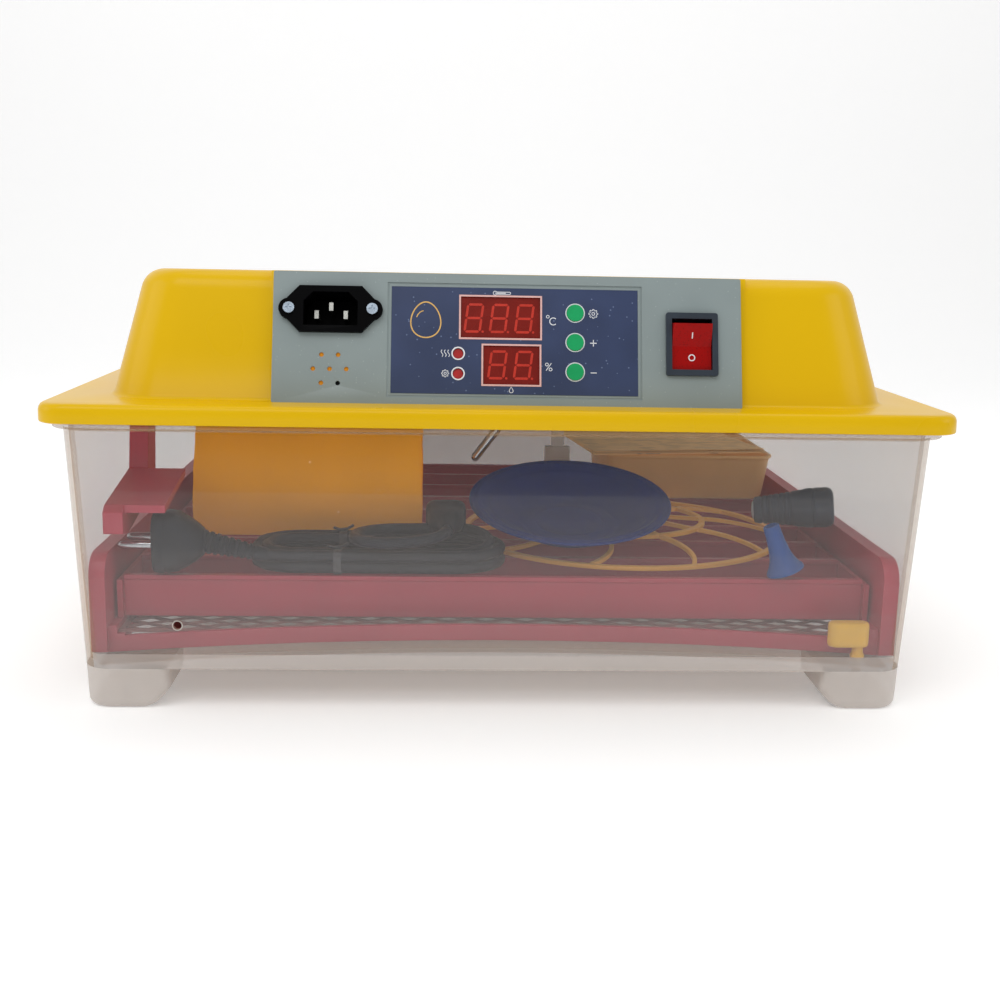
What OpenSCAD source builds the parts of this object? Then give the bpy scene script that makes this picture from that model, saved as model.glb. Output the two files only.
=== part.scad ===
// Automatic egg incubator: a frosted tub on four feet with a sliding egg rack inside, under a
// lift-off lid that holds the controller, the heater ring, the fan and the sensors.
// Right-handed frame: +X to the right seen from the front, +Y to the back, +Z up.
// The origin is the centre of the footprint, on the surface that the feet stand on.

/* [Overall] */
// Width of the lid flange, left to right
lid_w = 440; // [437:1:442]
// Depth of the lid flange, front to back
lid_d = 466; // [462:1:470]
// Height to the top of the dome
total_h = 215; // [212:0.5:220]
// Height of the lid flange's lower edge
flange_low = 144; // [143.5:0.5:145]
// Height of the lid flange's upper face
flange_top = 153.4; // [152.5:0.1:154.5]
// Thickness of the lid's plastic
lid_wall = 2.5; // [2:0.1:3]

/* [Dome] */
// Half width of the dome where it meets the flange
dome_half_w = 193.5; // [192:0.5:195]
// Half depth of the dome where it meets the flange
dome_half_d = 209.5; // [207:0.5:210]
// Lean of the panel and of the dome's front and back, in degrees
lean = 17.5; // [16:0.5:19]
// Lean of the dome's left and right side, in degrees
side_lean = 13; // [12:0.5:14]
// Fall of the dome's top towards the back, in degrees
top_fall = 1.6; // [1.4:0.1:1.8]
// Corner radius of the dome, seen from above
dome_corner_r = 30; // [26:1:34]
// Radius of the dome's upper edge
dome_edge_r = 12; // [9:0.5:13]

/* [Tub] */
// Half width of the tub where the feet's height ends
tub_half_w = 207; // [206.5:0.5:207.5]
// Half depth of the tub at the same height
tub_half_d = 217; // [216.5:0.5:218]
// Growth of the half width and the half depth up to the rim
tub_draft = 5; // [4:0.5:5.5]
// Wall thickness of the tub
tub_wall = 2.4; // [2.2:0.1:2.5]
// Outer corner radius of the tub
tub_corner_r = 14; // [12:1:15]
// Height of a foot
foot_h = 20; // [18:0.5:21]
// Width and depth of a foot
foot_w = 46; // [42:1:48]
// Height of the arched floor's underside at the middle
floor_mid = 29; // [28.5:0.5:29.5]
// Thickness of the floor
floor_t = 2.2; // [2:0.1:2.4]

/* [Egg rack] */
// Number of dividers
divider_count = 9; // [9:1:9]
// Distance from one divider to the next
divider_pitch = 42; // [40:0.5:42]
// Y position of the front divider's middle plane
divider_front = -185; // [-187:0.5:-184]
// Half length of a divider
divider_half_l = 191.5; // [190:0.5:191.5]
// Thickness of a divider's web
divider_t = 2.4; // [2:0.1:3]
// Height of a divider's lower edge
divider_low = 38.5; // [38.4:0.1:39]
// Height of a divider's upper edge
divider_top = 60.5; // [58:0.5:60.5]

/* [Turner drive] */
// X position of the crank's axis
crank_x = 110; // [100:1:120]
// Y position of the crank's axis
crank_y = 181; // [180:0.5:182]
// Crank radius: the rack slides this far each way
crank_r = 12; // [10:0.5:12]
// Radius of the crank's pin
crank_pin_r = 2; // [1.5:0.1:2.2]
// Radius of the motor shaft
shaft_r = 3.5; // [3:0.1:3.6]
// Side clearance of the crank's pin in the yoke's slot
yoke_clearance = 2.8; // [2.6:0.1:3]

/* [Control panel] */
// Width of the grey panel
panel_w = 228; // [226:1:229]
// Height of the panel along its slope
panel_h = 64.6; // [64:0.1:65]
// Thickness of the panel
panel_t = 4; // [3.5:0.1:4]
// X position of the panel's left edge
panel_left = -112; // [-114:0.5:-110]
// Y position of the panel face's lower edge
panel_front = -214; // [-214.5:0.5:-213.5]
// Width of the printed label
label_w = 120; // [118:0.5:121]
// Height of the printed label
label_h = 52.5; // [51:0.5:53]
// Radius of a push button
button_r = 4.1; // [3.6:0.1:4.3]
// Travel of a push button
button_travel = 0.6; // [0.4:0.1:0.6]
// Half angle between the rocker's two positions, in degrees
rocker_tilt = 12; // [8:1:12]

/* [Fan and heater] */
// Width of the square fan frame
fan_w = 80; // [80:1:80]
// Thickness of the fan frame
fan_t = 25; // [20:1:26]
// Y position of the fan's axis
fan_y = 40; // [30:1:50]
// Number of fan blades
blade_count = 7; // [5:1:9]
// Radius of the heater ring
heater_r = 66; // [64:1:70]

/* [Stowed accessories] */
// Rim radius of the chick dish
dish_r = 57; // [54:1:58]
// Tilt of the chick dish towards the front, in degrees
dish_tilt = 13; // [12:1:14]
// Outer radius of the spoked ring
ring_r = 94; // [90:1:95]
// Outer radius of the rolled mat
mat_r = 35; // [30:1:35]
// Length of the rolled mat
mat_l = 125; // [115:1:126]
// Diameter of the mains lead
lead_d = 6; // [5.8:0.1:6.2]

/* [Hidden] */
$fn = 64;
eps = 0.01;

// Tub: the wall above the feet, the rim and the arched floor
tub_top = flange_top - lid_wall - 0.5;
rim_low = 141;
rim_high = flange_low - 0.3;
rim_half_w = 216;
rim_half_d = 230;
tub_scale_h = flange_low - foot_h;
floor_r = (tub_half_w * tub_half_w + 64) / 16;
foot_in = tub_half_w - foot_w;
foot_in_y = tub_half_d - foot_w;
vent_x = -158.7;
vent_z = 43;
vent_r = 2.1;
drain_x = 184;
drain_y = -208.5;
drain_r = 2.2;
running_gap = 0.05;
motor_x = 100;
motor_low = 2.5;
motor_top = 19.5;
motor_r = 25;
ear_reach = 30;
screw_r = 1.5;
boss_r = 4.5;

// Fixed red frame round the egg rack
frame_outer = 203.9;
frame_inner = 196;
frame_front = -206.5;
frame_back = 206.5;
frame_low = 25.4;
frame_top = 75;
frame_corner_r = 12;
rail_t = 3;
rail_back = 203.5;
rail_front = -203;
rail_mid_low = 31.6;
rail_mid_top = 39.6;
ledge_in = 188;
ledge_low = 30;
mesh_low = 34;
mesh_t = 1.4;
guide_in = 191.8;
guide_top = 38.2;
mesh_back = 156;
mesh_strip = 2.5;
mesh_pitch = 30;

// Sliding rack and crank
bar_t = 2.8;
bar_front = divider_front - 5;
bar_back = divider_front + (divider_count - 1) * divider_pitch + 5;
bead_w = 4.4;
bead_h = 2.4;
last_divider = divider_front + (divider_count - 1) * divider_pitch;
yoke_low = 40.4;
yoke_t = 3;
slot_half_w = crank_pin_r + yoke_clearance;
arm_low = 31.2;
arm_t = 3.2;
arm_hub_r = 7.5;
arm_eye_r = 4.5;

// Panel coordinates: x to the right, y up the slope, z out of the panel
label_x = 57;
label_y = 5.4;
recess = 0.6;
label_t = 0.4;
temp_box = [33.2, 27.4, 39.4, 21];
humidity_box = [44.2, 4.5, 28.1, 19.8];
display_depth = 7;
led_x = 32.4;
led_ys = [19.8, 9.9];
led_r = 2.5;
button_x = 89.3;
button_ys = [40.7, 26.1, 11.5];
inlet_c = [27.8, 45.6];
inlet_screw_pitch = 40;
inlet_open = [25.9, 16.4];
switch_c = [203.4, 31.2];
switch_face = [25.5, 31.2];
switch_open = [19.8, 25.3];
switch_body = [22, 28.6];
rocker_w = 19.2;
rocker_pivot_z = -4;
rocker_pin_r = 1.5;
speaker_c = [27.6, 16.7];
speaker_ring_r = 8;
speaker_hole_r = 1.15;
board_z = -7.5;
board_t = 1.6;

// Parts that hang below the lid
cover_top = flange_top - lid_wall - 0.2;
cover_t = 2.4;
cover_low = cover_top - cover_t;
lid_corner_r = 14;
housing_back = -165;
spacer_h = 5.5;
fan_top = cover_low - spacer_h;
fan_low = fan_top - fan_t;
fan_bore_r = 38;
hub_r = 17;
blade_r = 36.5;
heater_z = 131;
heater_wire_r = 2.2;
cover_screw_sites = [[-145, -150], [145, -150], [-145, 165], [145, 165]];
power_board_site = [-60, 110];
board_lift = 8;

// Mains lead, wound into a flat hank of two layers with two turns each
hank_bend_r = 18;
hank_run = 82;
hank_c = [-63, -159];
hank_low = 61;
plug_c = [-175.5, -183, 77.5];

// ---------- shared shapes ----------

module rounded_rect(half_w, half_d, r) {
    square([2 * half_w, 2 * (half_d - r)], center = true);
    square([2 * (half_w - r), 2 * half_d], center = true);
    for (sx = [-1, 1], sy = [-1, 1])
        translate([sx * (half_w - r), sy * (half_d - r)]) circle(r);
}

module rounded_bar(w, d, r) {
    translate([w / 2, d / 2]) rounded_rect(w / 2, d / 2, r);
}

// A block with upright rounded corners, from its lowest corner
module rounded_block(w, d, h, r) {
    linear_extrude(h) rounded_bar(w, d, r);
}

module on_panel() {
    translate([panel_left, panel_front, flange_top]) rotate([90 - lean, 0, 0]) children();
}

module on_label(depth) {
    on_panel() translate([label_x, label_y, depth]) children();
}

// The body of the tub: inset is the distance inside its outer face
module tub_block(inset, low, high) {
    growth = tub_draft / tub_scale_h;
    w0 = tub_half_w - inset + (low - foot_h) * growth;
    d0 = tub_half_d - inset + (low - foot_h) * growth;
    w1 = w0 + (high - low) * growth;
    d1 = d0 + (high - low) * growth;
    hull($fn = 32) {
        translate([0, 0, low]) linear_extrude(0.1) rounded_rect(w0, d0, tub_corner_r - inset);
        translate([0, 0, high - 0.1]) linear_extrude(0.1) rounded_rect(w1, d1, tub_corner_r - inset);
    }
}

// Everything below an arch across X whose crown is at height crown
module under_arch(crown, half_d) {
    translate([0, half_d, crown - floor_r]) rotate([90, 0, 0])
        cylinder(h = 2 * half_d, r = floor_r, $fn = 720);
}

// ---------- tub ----------

module foot_places() {
    for (sx = [-1, 1], sy = [-1, 1])
        translate([sx * (foot_in + foot_w / 2), sy * (foot_in_y + foot_w / 2), 0]) children();
}

module between_feet(low, high) {
    translate([-foot_in, -250, low]) cube([2 * foot_in, 500, high - low]);
    translate([-250, -foot_in_y, low]) cube([500, 2 * foot_in_y, high - low]);
}

module base_shell() {
    color([0.86, 0.82, 0.78, 0.5]) difference() {
        union() {
            difference() {
                union() {
                    tub_block(0, 0, tub_top);
                    translate([0, 0, rim_low]) linear_extrude(rim_high - rim_low)
                        rounded_rect(rim_half_w, rim_half_d, tub_corner_r + 5);
                }
                // inside of the tub, down to the arched floor
                difference() {
                    tub_block(tub_wall, 20, tub_top + 1);
                    under_arch(floor_mid + floor_t, 240);
                }
                // clear space between the feet, and the hollow under the floor
                between_feet(-1, foot_h);
                intersection() {
                    tub_block(tub_wall, -1, 40);
                    under_arch(floor_mid, 240);
                    between_feet(-1, 40);
                }
                // feet are open underneath
                foot_places() translate([0, 0, -1]) linear_extrude(19)
                    rounded_rect(foot_w / 2 - 3, foot_w / 2 - 3, 8);
            }
            // cross ribs stiffen each foot
            foot_places() {
                translate([-foot_w / 2 + 2, -1.5, 0]) cube([foot_w - 4, 3, 18.5]);
                translate([-1.5, -foot_w / 2 + 2, 0]) cube([3, foot_w - 4, 18.5]);
                cylinder(h = 18.5, r = 7);
            }
            // level pad round the drain hole
            translate([drain_x, drain_y, 19]) cylinder(h = 6.2, r = 5);
            // posts that hold the turner motor, and a collar round its shaft
            for (s = [-1, 1])
                translate([motor_x + s * ear_reach, crank_y, motor_top]) cylinder(h = 8.5, r = boss_r);
            translate([crank_x, crank_y, 25]) cylinder(h = 5.6, r = 6.5);
        }
        translate([drain_x, drain_y, -1]) cylinder(h = 40, r = drain_r + running_gap);
        translate([crank_x, crank_y, 10]) cylinder(h = 30, r = shaft_r + 0.5);
        for (s = [-1, 1])
            translate([motor_x + s * ear_reach, crank_y, motor_top - 1])
                cylinder(h = 7, r = screw_r + running_gap);
        translate([vent_x, -tub_half_d + 6, vent_z]) rotate([90, 0, 0]) cylinder(h = 12, r = vent_r);
        // the tub's foot corners are cut round at their inner lower edge
        foot_places() difference() {
            translate([-foot_w, -foot_w, -1]) cube([2 * foot_w, 2 * foot_w, 3]);
            translate([0, 0, -2]) linear_extrude(5) rounded_rect(foot_w / 2 - 2, foot_w / 2 - 2, 8);
        }
    }
}

module turner_motor() {
    color("silver") difference() {
        union() {
            translate([motor_x, crank_y, motor_low])
                cylinder(h = motor_top - motor_low - 0.1, r = motor_r);
            for (s = [-1, 1]) translate([motor_x + s * ear_reach, crank_y, motor_top - 1.1])
                cylinder(h = 1, r = 5);
            translate([motor_x - ear_reach, crank_y - 5, motor_top - 1.1]) cube([2 * ear_reach, 10, 1]);
            translate([crank_x, crank_y, motor_top - 0.2]) cylinder(h = 3, r = 6);
        }
        translate([crank_x, crank_y, motor_low + 4]) cylinder(h = 30, r = shaft_r + running_gap);
        for (s = [-1, 1]) translate([motor_x + s * ear_reach, crank_y, 0])
            cylinder(h = 30, r = screw_r + running_gap);
    }
}

module screw(shank, length, head_r, head_h) {
    translate([0, 0, -head_h]) difference() {
        cylinder(h = head_h, r = head_r);
        for (a = [0, 90]) rotate(a)
            translate([-head_r * 0.6, -0.4, -eps]) cube([head_r * 1.2, 0.8, head_h * 0.5]);
    }
    cylinder(h = length, r = shank);
}

module motor_screws() {
    color("gainsboro") for (s = [-1, 1])
        translate([motor_x + s * ear_reach, crank_y, motor_top - 1.1]) screw(screw_r, 6.5, 2.8, 1.8);
}

module drain_plug() {
    color("goldenrod") {
        translate([drain_x, drain_y, 20.5]) cylinder(h = 13.5, r = drain_r);
        translate([drain_x, drain_y, 25.5]) cylinder(h = 1.6, r = 3.6);
        translate([drain_x - 15.8, drain_y - 4.3, 33]) rounded_block(21, 8.6, 9.4, 4.2);
    }
}

// ---------- fixed frame and mesh ----------

module side_wall_outline() {
    difference() {
        translate([frame_front, frame_low]) square([frame_back - frame_front, frame_top - frame_low]);
        translate([frame_front, frame_top - frame_corner_r])
            square([frame_corner_r, frame_corner_r]);
    }
    translate([frame_front + frame_corner_r, frame_top - frame_corner_r]) circle(frame_corner_r);
}

module side_wall() {
    translate([frame_inner, 0, 0]) rotate([90, 0, 90])
        linear_extrude(frame_outer - frame_inner) side_wall_outline();
}

module arched_rail(y) {
    translate([0, y + rail_t / 2, 0]) intersection() {
        translate([-frame_inner - 1, -rail_t / 2, 20]) cube([2 * frame_inner + 2, rail_t, 30]);
        difference() {
            under_arch(rail_mid_top, 20);
            under_arch(rail_mid_low, 21);
        }
    }
}

module tray_frame() {
    color("crimson") {
        for (s = [0, 1]) mirror([s, 0, 0]) {
            side_wall();
            translate([ledge_in, rail_front, ledge_low])
                cube([frame_inner - ledge_in + 1, rail_back - rail_front, mesh_low - ledge_low]);
            translate([guide_in, rail_front, ledge_low])
                cube([frame_inner - guide_in + 1, rail_back - rail_front, guide_top - ledge_low]);
        }
        arched_rail(rail_front);
        arched_rail(rail_back);
    }
}

module mesh_floor() {
    depth = mesh_back - rail_front - rail_t - 0.4;
    half_w = guide_in - 0.3;
    color("dimgray") translate([0, rail_front + rail_t + 0.2, mesh_low]) linear_extrude(mesh_t) {
        for (x = [-half_w : (2 * half_w - mesh_strip) / 13 : half_w])
            translate([x, 0]) square([mesh_strip, depth]);
        for (y = [0 : (depth - mesh_strip) / 12 : depth])
            translate([-half_w, y]) square([2 * half_w, mesh_strip]);
    }
}

// ---------- sliding egg rack ----------

module divider(number) {
    y = divider_front + (number - 1) * divider_pitch;
    color("firebrick") {
        translate([-divider_half_l, y - divider_t / 2, divider_low])
            cube([2 * divider_half_l, divider_t, divider_top - divider_low]);
        translate([-divider_half_l, y - bead_w / 2, divider_top - bead_h])
            cube([2 * divider_half_l, bead_w, bead_h]);
    }
}

module slide_bar(side) {
    x = side > 0 ? divider_half_l : -divider_half_l - bar_t;
    color("firebrick") difference() {
        translate([x, bar_front, divider_low]) cube([bar_t, bar_back - bar_front, 20]);
        for (k = [0 : divider_count - 2])
            translate([x - 1, divider_front + (k + 0.5) * divider_pitch - 12, divider_low + 6])
                cube([bar_t + 2, 24, 8]);
    }
}

module yoke_plate() {
    front = last_divider + divider_t / 2;
    color("firebrick") difference() {
        translate([crank_x - 24, front, yoke_low])
            cube([60, crank_y + slot_half_w + 5 - front, yoke_t]);
        translate([crank_x, crank_y, yoke_low - 1]) {
            cylinder(h = yoke_t + 2, r = slot_half_w);
            translate([crank_r, 0, 0]) cylinder(h = yoke_t + 2, r = slot_half_w);
            translate([0, -slot_half_w, 0]) cube([crank_r, 2 * slot_half_w, yoke_t + 2]);
        }
    }
}

module motor_shaft() {
    color("silver") translate([crank_x, crank_y, motor_low + 5])
        cylinder(h = arm_low + arm_t - motor_low - 5 + 0.8, r = shaft_r);
}

module crank_arm() {
    color("white") difference() {
        translate([crank_x, crank_y, arm_low]) {
            cylinder(h = arm_t, r = arm_hub_r);
            translate([0, -arm_eye_r, 0]) cube([crank_r, 2 * arm_eye_r, arm_t]);
            translate([crank_r, 0, 0]) cylinder(h = arm_t, r = arm_eye_r);
            translate([crank_r, 0, 0]) cylinder(h = yoke_low + yoke_t + 1.6 - arm_low, r = crank_pin_r);
        }
        translate([crank_x, crank_y, arm_low - 1]) cylinder(h = arm_t + 2, r = shaft_r);
    }
}

// ---------- lid ----------

// Height of the dome's top at y, when its front edge is at height high
function top_at(y, high) = high - (y - top_front()) * tan(top_fall);
function top_front() = panel_front + panel_t / cos(lean) + (total_h - flange_top) * tan(lean);

// Distance that a slope's lean adds to the middle of a round edge
function edge_shift(edge, angle) = edge * (1 - cos(angle) + (1 - sin(angle)) * tan(angle));

// A hull of four rings gives the dome its round upper edge
module dome_block(inset, high) {
    edge = dome_edge_r - inset;
    ring = dome_corner_r - inset - edge - 2;
    hull($fn = 32) {
        translate([0, 0, flange_top - lid_wall - (inset > 0 ? 1 : 0)]) linear_extrude(0.5)
            rounded_rect(dome_half_w - inset, dome_half_d - inset, dome_corner_r - inset);
        for (sx = [-1, 1], sy = [-1, 1]) {
            // the ends of the top lie where its slope meets the dome's front and back
            top = top_at(sy * (dome_half_d - dome_corner_r), high);
            drop = top - flange_top;
            x = dome_half_w - inset - drop * tan(side_lean) - edge - ring + edge_shift(edge, side_lean);
            y = dome_half_d - inset - drop * tan(lean) - edge - ring + edge_shift(edge, lean);
            translate([sx * x, sy * y, top_at(sy * y, high) - edge]) rotate([-top_fall, 0, 0])
                rotate_extrude() translate([ring, 0]) circle(edge);
        }
    }
}

// Straight block behind the control panel
module panel_housing(inset) {
    back = panel_front + panel_t / cos(lean);
    rise = total_h - inset - flange_top;
    translate([panel_left - 1.5 + inset, 0, 0]) rotate([90, 0, 90])
        linear_extrude(panel_w + 5 - 2 * inset)
            polygon([
                [back + inset, flange_top - (inset > 0 ? 5 : 1)],
                [back + inset, flange_top],
                [back + inset + rise * tan(lean), flange_top + rise],
                [housing_back, top_at(housing_back, flange_top + rise)],
                [housing_back, flange_top - (inset > 0 ? 5 : 1)]
            ]);
}

module panel_cutouts() {
    on_panel() {
        translate([inlet_c[0] - 14.2, inlet_c[1] - 10.2, -30]) cube([28.4, 20.4, 40]);
        translate([label_x + 2, label_y + 1.5, -30]) cube([label_w - 4, label_h - 5, 30]);
        translate([switch_c[0] - 11.2, switch_c[1] - 14.5, -32]) cube([22.4, 29, 42]);
        translate([34, 7.5, -20]) cylinder(h = 20, r = 5.8);
    }
}

module lid_shell() {
    color("gold") difference() {
        union() {
            translate([0, 0, flange_low]) linear_extrude(flange_top - flange_low)
                rounded_rect(lid_w / 2, lid_d / 2, lid_corner_r);
            dome_block(0, total_h);
            panel_housing(0);
        }
        translate([0, 0, flange_low - 1]) linear_extrude(flange_top - lid_wall - flange_low + 1)
            rounded_rect(lid_w / 2 - lid_wall, lid_d / 2 - lid_wall, lid_corner_r - lid_wall);
        dome_block(lid_wall, total_h - lid_wall);
        panel_housing(lid_wall);
        panel_cutouts();
    }
    color("gold") for (p = cover_screw_sites)
        translate([p[0], p[1], cover_top]) difference() {
            cylinder(h = top_at(p[1], total_h) - lid_wall - cover_top + 1, r = 4);
            translate([0, 0, -1]) cylinder(h = 12, r = screw_r + running_gap);
        }
}

module control_panel() {
    color("slategray") difference() {
        on_panel() translate([0, 0, -panel_t]) rounded_block(panel_w, panel_h, panel_t, 0.8);
        on_panel() {
            translate([label_x - 2, label_y - 2, -recess]) cube([label_w + 4, label_h + 4, 2]);
            translate([inlet_c[0] - 14.2, inlet_c[1] - 10.2, -9]) cube([28.4, 20.4, 20]);
            for (s = [-0.5, 0.5]) translate([inlet_c[0] + s * inlet_screw_pitch, inlet_c[1], -9])
                cylinder(h = 20, r = screw_r + running_gap);
            translate([switch_c[0] - 11.2, switch_c[1] - 14.5, -9]) cube([22.4, 29, 20]);
            translate([speaker_c[0], speaker_c[1], -9]) cylinder(h = 20, r = speaker_hole_r, $fn = 24);
            for (a = [0 : 60 : 300])
                translate([speaker_c[0], speaker_c[1], -9]) rotate(a) translate([speaker_ring_r, 0, 0])
                    cylinder(h = 20, r = speaker_hole_r, $fn = 24);
        }
        // the lower edge stands flat on the flange
        translate([-200, -250, flange_top - 20]) cube([400, 100, 20]);
        label_holes(-9, 20, 0.15);
        for (y = button_ys) on_label(-9) translate([button_x, y, 0]) cylinder(h = 20, r = button_r + 0.15);
    }
}

// Windows for the two displays and the two lamps
module label_holes(low, height, gap) {
    on_label(low) {
        for (b = [temp_box, humidity_box])
            translate([b[0] - gap, b[1] - gap, 0]) cube([b[2] + 2 * gap, b[3] + 2 * gap, height]);
        for (y = led_ys) translate([led_x, y, 0]) cylinder(h = height, r = led_r + gap);
    }
}

module display_overlay() {
    color("midnightblue") difference() {
        on_label(-recess) cube([label_w, label_h, label_t]);
        label_holes(-3, 6, 0.1);
        for (y = button_ys) on_label(-3) translate([button_x, y, 0]) cylinder(h = 6, r = button_r + 0.15);
    }
}

module inlet_outline() {
    square([30, 22.6], center = true);
    polygon([[-15, 11.3], [-15, -11.3], [-21, -5], [-21, 5]]);
    polygon([[15, 11.3], [15, -11.3], [21, -5], [21, 5]]);
    for (s = [-1, 1]) translate([s * 20, 0]) circle(5);
}

// Socket opening with its two upper corners cut off
module inlet_mouth() {
    w = inlet_open[0] / 2;
    h = inlet_open[1] / 2;
    cut = 4.5;
    polygon([[-w, -h], [w, -h], [w, h - cut], [w - cut, h], [cut - w, h], [-w, h - cut]]);
}

module power_inlet() {
    color([0.05, 0.05, 0.05]) on_panel() translate([inlet_c[0], inlet_c[1], 0]) difference() {
        union() {
            linear_extrude(3) inlet_outline();
            translate([-14, -10, -22]) cube([28, 20, 23]);
        }
        translate([0, 0, -16]) linear_extrude(20) inlet_mouth();
        for (s = [-0.5, 0.5]) translate([s * inlet_screw_pitch, 0, -1])
            cylinder(h = 6, r = screw_r + running_gap);
    }
}

module inlet_pins() {
    color("silver") on_panel() translate([inlet_c[0], inlet_c[1], 0])
        for (p = [[-7, -2], [7, -2], [0, 2]])
            translate([p[0] - 1, p[1] - 2, -16]) cube([2, 4, 14.5]);
}

module inlet_screws() {
    color("silver") on_panel() for (s = [-0.5, 0.5])
        translate([inlet_c[0] + s * inlet_screw_pitch, inlet_c[1], 3]) rotate([180, 0, 0])
            screw(screw_r, 6.5, 2.7, 1.2);
}

module switch_frame() {
    color([0.15, 0.18, 0.22]) on_panel() translate([switch_c[0], switch_c[1], 0]) difference() {
        union() {
            linear_extrude(2) rounded_rect(switch_face[0] / 2, switch_face[1] / 2, 1.2);
            translate([-switch_body[0] / 2, -switch_body[1] / 2, -21])
                cube([switch_body[0], switch_body[1], 22]);
        }
        translate([-switch_open[0] / 2, -switch_open[1] / 2, -17])
            cube([switch_open[0], switch_open[1], 20]);
        translate([-20, 0, rocker_pivot_z]) rotate([0, 90, 0])
            cylinder(h = 40, r = rocker_pin_r + running_gap);
    }
}

module switch_terminals() {
    color("silver") on_panel() translate([switch_c[0], switch_c[1], 0])
        for (x = [-5, 5], y = [-7, 7])
            translate([x - 0.4, y - 2.4, -29]) cube([0.8, 4.8, 8]);
}

// Side view of the rocker about its pivot: a shallow V on a round-ended body
module rocker_outline() {
    reach = 11.3;
    wing = 6.6;
    end_r = norm([reach, wing]);
    intersection() {
        circle(end_r);
        difference() {
            translate([-reach, -3.2]) square([2 * reach, 20]);
            polygon([[0, 4.4], [20, 4.4 + 20 * (wing - 4.4) / reach], [20, 30], [-20, 30],
                [-20, 4.4 + 20 * (wing - 4.4) / reach]]);
            for (s = [-1, 1]) translate([s * (reach + 1.6), -4]) circle(3.2);
        }
    }
    circle(rocker_pin_r + 2.2);
}

module switch_rocker() {
    color("red") on_panel() translate([switch_c[0], switch_c[1], rocker_pivot_z])
        rotate([rocker_tilt, 0, 0]) {
            translate([-rocker_w / 2, 0, 0]) rotate([90, 0, 90]) linear_extrude(rocker_w) rocker_outline();
            translate([-rocker_w / 2 - 1.3, 0, 0]) rotate([0, 90, 0])
                cylinder(h = rocker_w + 2.6, r = rocker_pin_r);
        }
}

module display_module(place) {
    color("darkred") on_label(board_z)
        translate([place[0] + 0.1, place[1] + 0.1, 0])
            cube([place[2] - 0.2, place[3] - 0.2, display_depth - 0.4]);
}

module temp_display() {
    display_module(temp_box);
}

module humidity_display() {
    display_module(humidity_box);
}

module indicator_leds() {
    color("red") for (y = led_ys) on_label(board_z) translate([led_x, y, 0]) {
        cylinder(h = 6.4, r = led_r);
        cylinder(h = 1, r = led_r + 0.4);
    }
}

module control_board() {
    color("darkgreen") {
        on_label(board_z - board_t) translate([2.5, 2.5, 0]) cube([label_w - 5, label_h - 7, board_t]);
        for (y = button_ys) on_label(board_z - eps) translate([button_x, y, 0]) {
            translate([-3, -3, 0]) cube([6, 6, 0.7]);
            cylinder(h = 1.2, r = 1.6);
        }
        for (x = [5.5, label_w - 5.5], y = [5.5, label_h - 8])
            on_label(board_z - eps) translate([x, y, 0]) cylinder(h = -board_z - panel_t + eps, r = 2.2);
    }
}

module push_button(number) {
    color("seagreen") on_label(0) translate([button_x, button_ys[number], 0]) {
        translate([0, 0, -4.6]) cylinder(h = 5.2, r = button_r);
        translate([0, 0, -5.4]) cylinder(h = 1, r = button_r + 1);
    }
}

module buzzer() {
    color("black") on_panel() translate([34, 7.5, -panel_t - 9.5]) difference() {
        cylinder(h = 9.5, r = 5.5);
        translate([0, 0, 8.5]) cylinder(h = 2, r = 1);
    }
}

module power_board() {
    translate([power_board_site[0], power_board_site[1], cover_top]) {
        color("darkgreen") translate([-50, -32, board_lift]) cube([100, 64, board_t]);
        color("gray") for (x = [-44, 44], y = [-26, 26]) translate([x, y, 0]) cylinder(h = board_lift, r = 3);
        color("gold") translate([-42, -20, board_lift + board_t]) cube([34, 28, 24]);
        color("royalblue") translate([6, -24, board_lift + board_t]) cube([19, 15, 15]);
        color("black") for (x = [8, 24]) translate([x, 12, board_lift + board_t]) cylinder(h = 18, r = 6);
    }
}

module inner_cover() {
    color("whitesmoke") difference() {
        translate([0, 0, cover_low]) linear_extrude(cover_t) rounded_rect(198, 212, 12);
        for (p = cover_screw_sites) translate([p[0], p[1], cover_low - 1])
            cylinder(h = 5, r = screw_r + running_gap);
        // vent holes round the fan
        for (a = [0 : 30 : 330]) translate([88 * cos(a), fan_y + 88 * sin(a), cover_low - 1])
            cylinder(h = 5, r = 4);
    }
    color("whitesmoke") for (x = [-35.75, 35.75], y = [-35.75, 35.75])
        translate([x, fan_y + y, fan_top]) cylinder(h = spacer_h, r = 3.5);
}

module cover_screws() {
    color("silver") for (p = cover_screw_sites) translate([p[0], p[1], cover_low]) screw(screw_r, 10, 3, 1.8);
}

module fan_frame() {
    color([0.1, 0.1, 0.1]) translate([0, fan_y, fan_low]) {
        difference() {
            linear_extrude(fan_t) rounded_rect(fan_w / 2, fan_w / 2, 5);
            translate([0, 0, -1]) cylinder(h = fan_t + 2, r = fan_bore_r);
        }
        difference() {
            union() {
                translate([0, 0, fan_t - 4]) cylinder(h = 4, r = hub_r);
                for (a = [0 : 120 : 240]) rotate(a + 30)
                    translate([hub_r - 2, -2, fan_t - 4]) cube([fan_bore_r - hub_r + 3, 4, 4]);
            }
            translate([0, 0, fan_t - 9]) cylinder(h = 8, r = 2 + running_gap);
        }
    }
}

module fan_rotor() {
    color([0.16, 0.16, 0.16]) translate([0, fan_y, fan_low + 2.5]) {
        cylinder(h = fan_t - 7, r = hub_r);
        cylinder(h = fan_t - 4.5, r = 2);
        for (k = [0 : blade_count - 1]) rotate(k * 360 / blade_count)
            translate([hub_r - 1, 0, (fan_t - 7) / 2]) rotate([38, 0, 0])
                translate([0, -9, -0.7]) cube([blade_r - hub_r, 18, 1.4]);
    }
}

module flat_ring(r, width) {
    difference() {
        circle(r);
        circle(r - width);
    }
}

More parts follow.
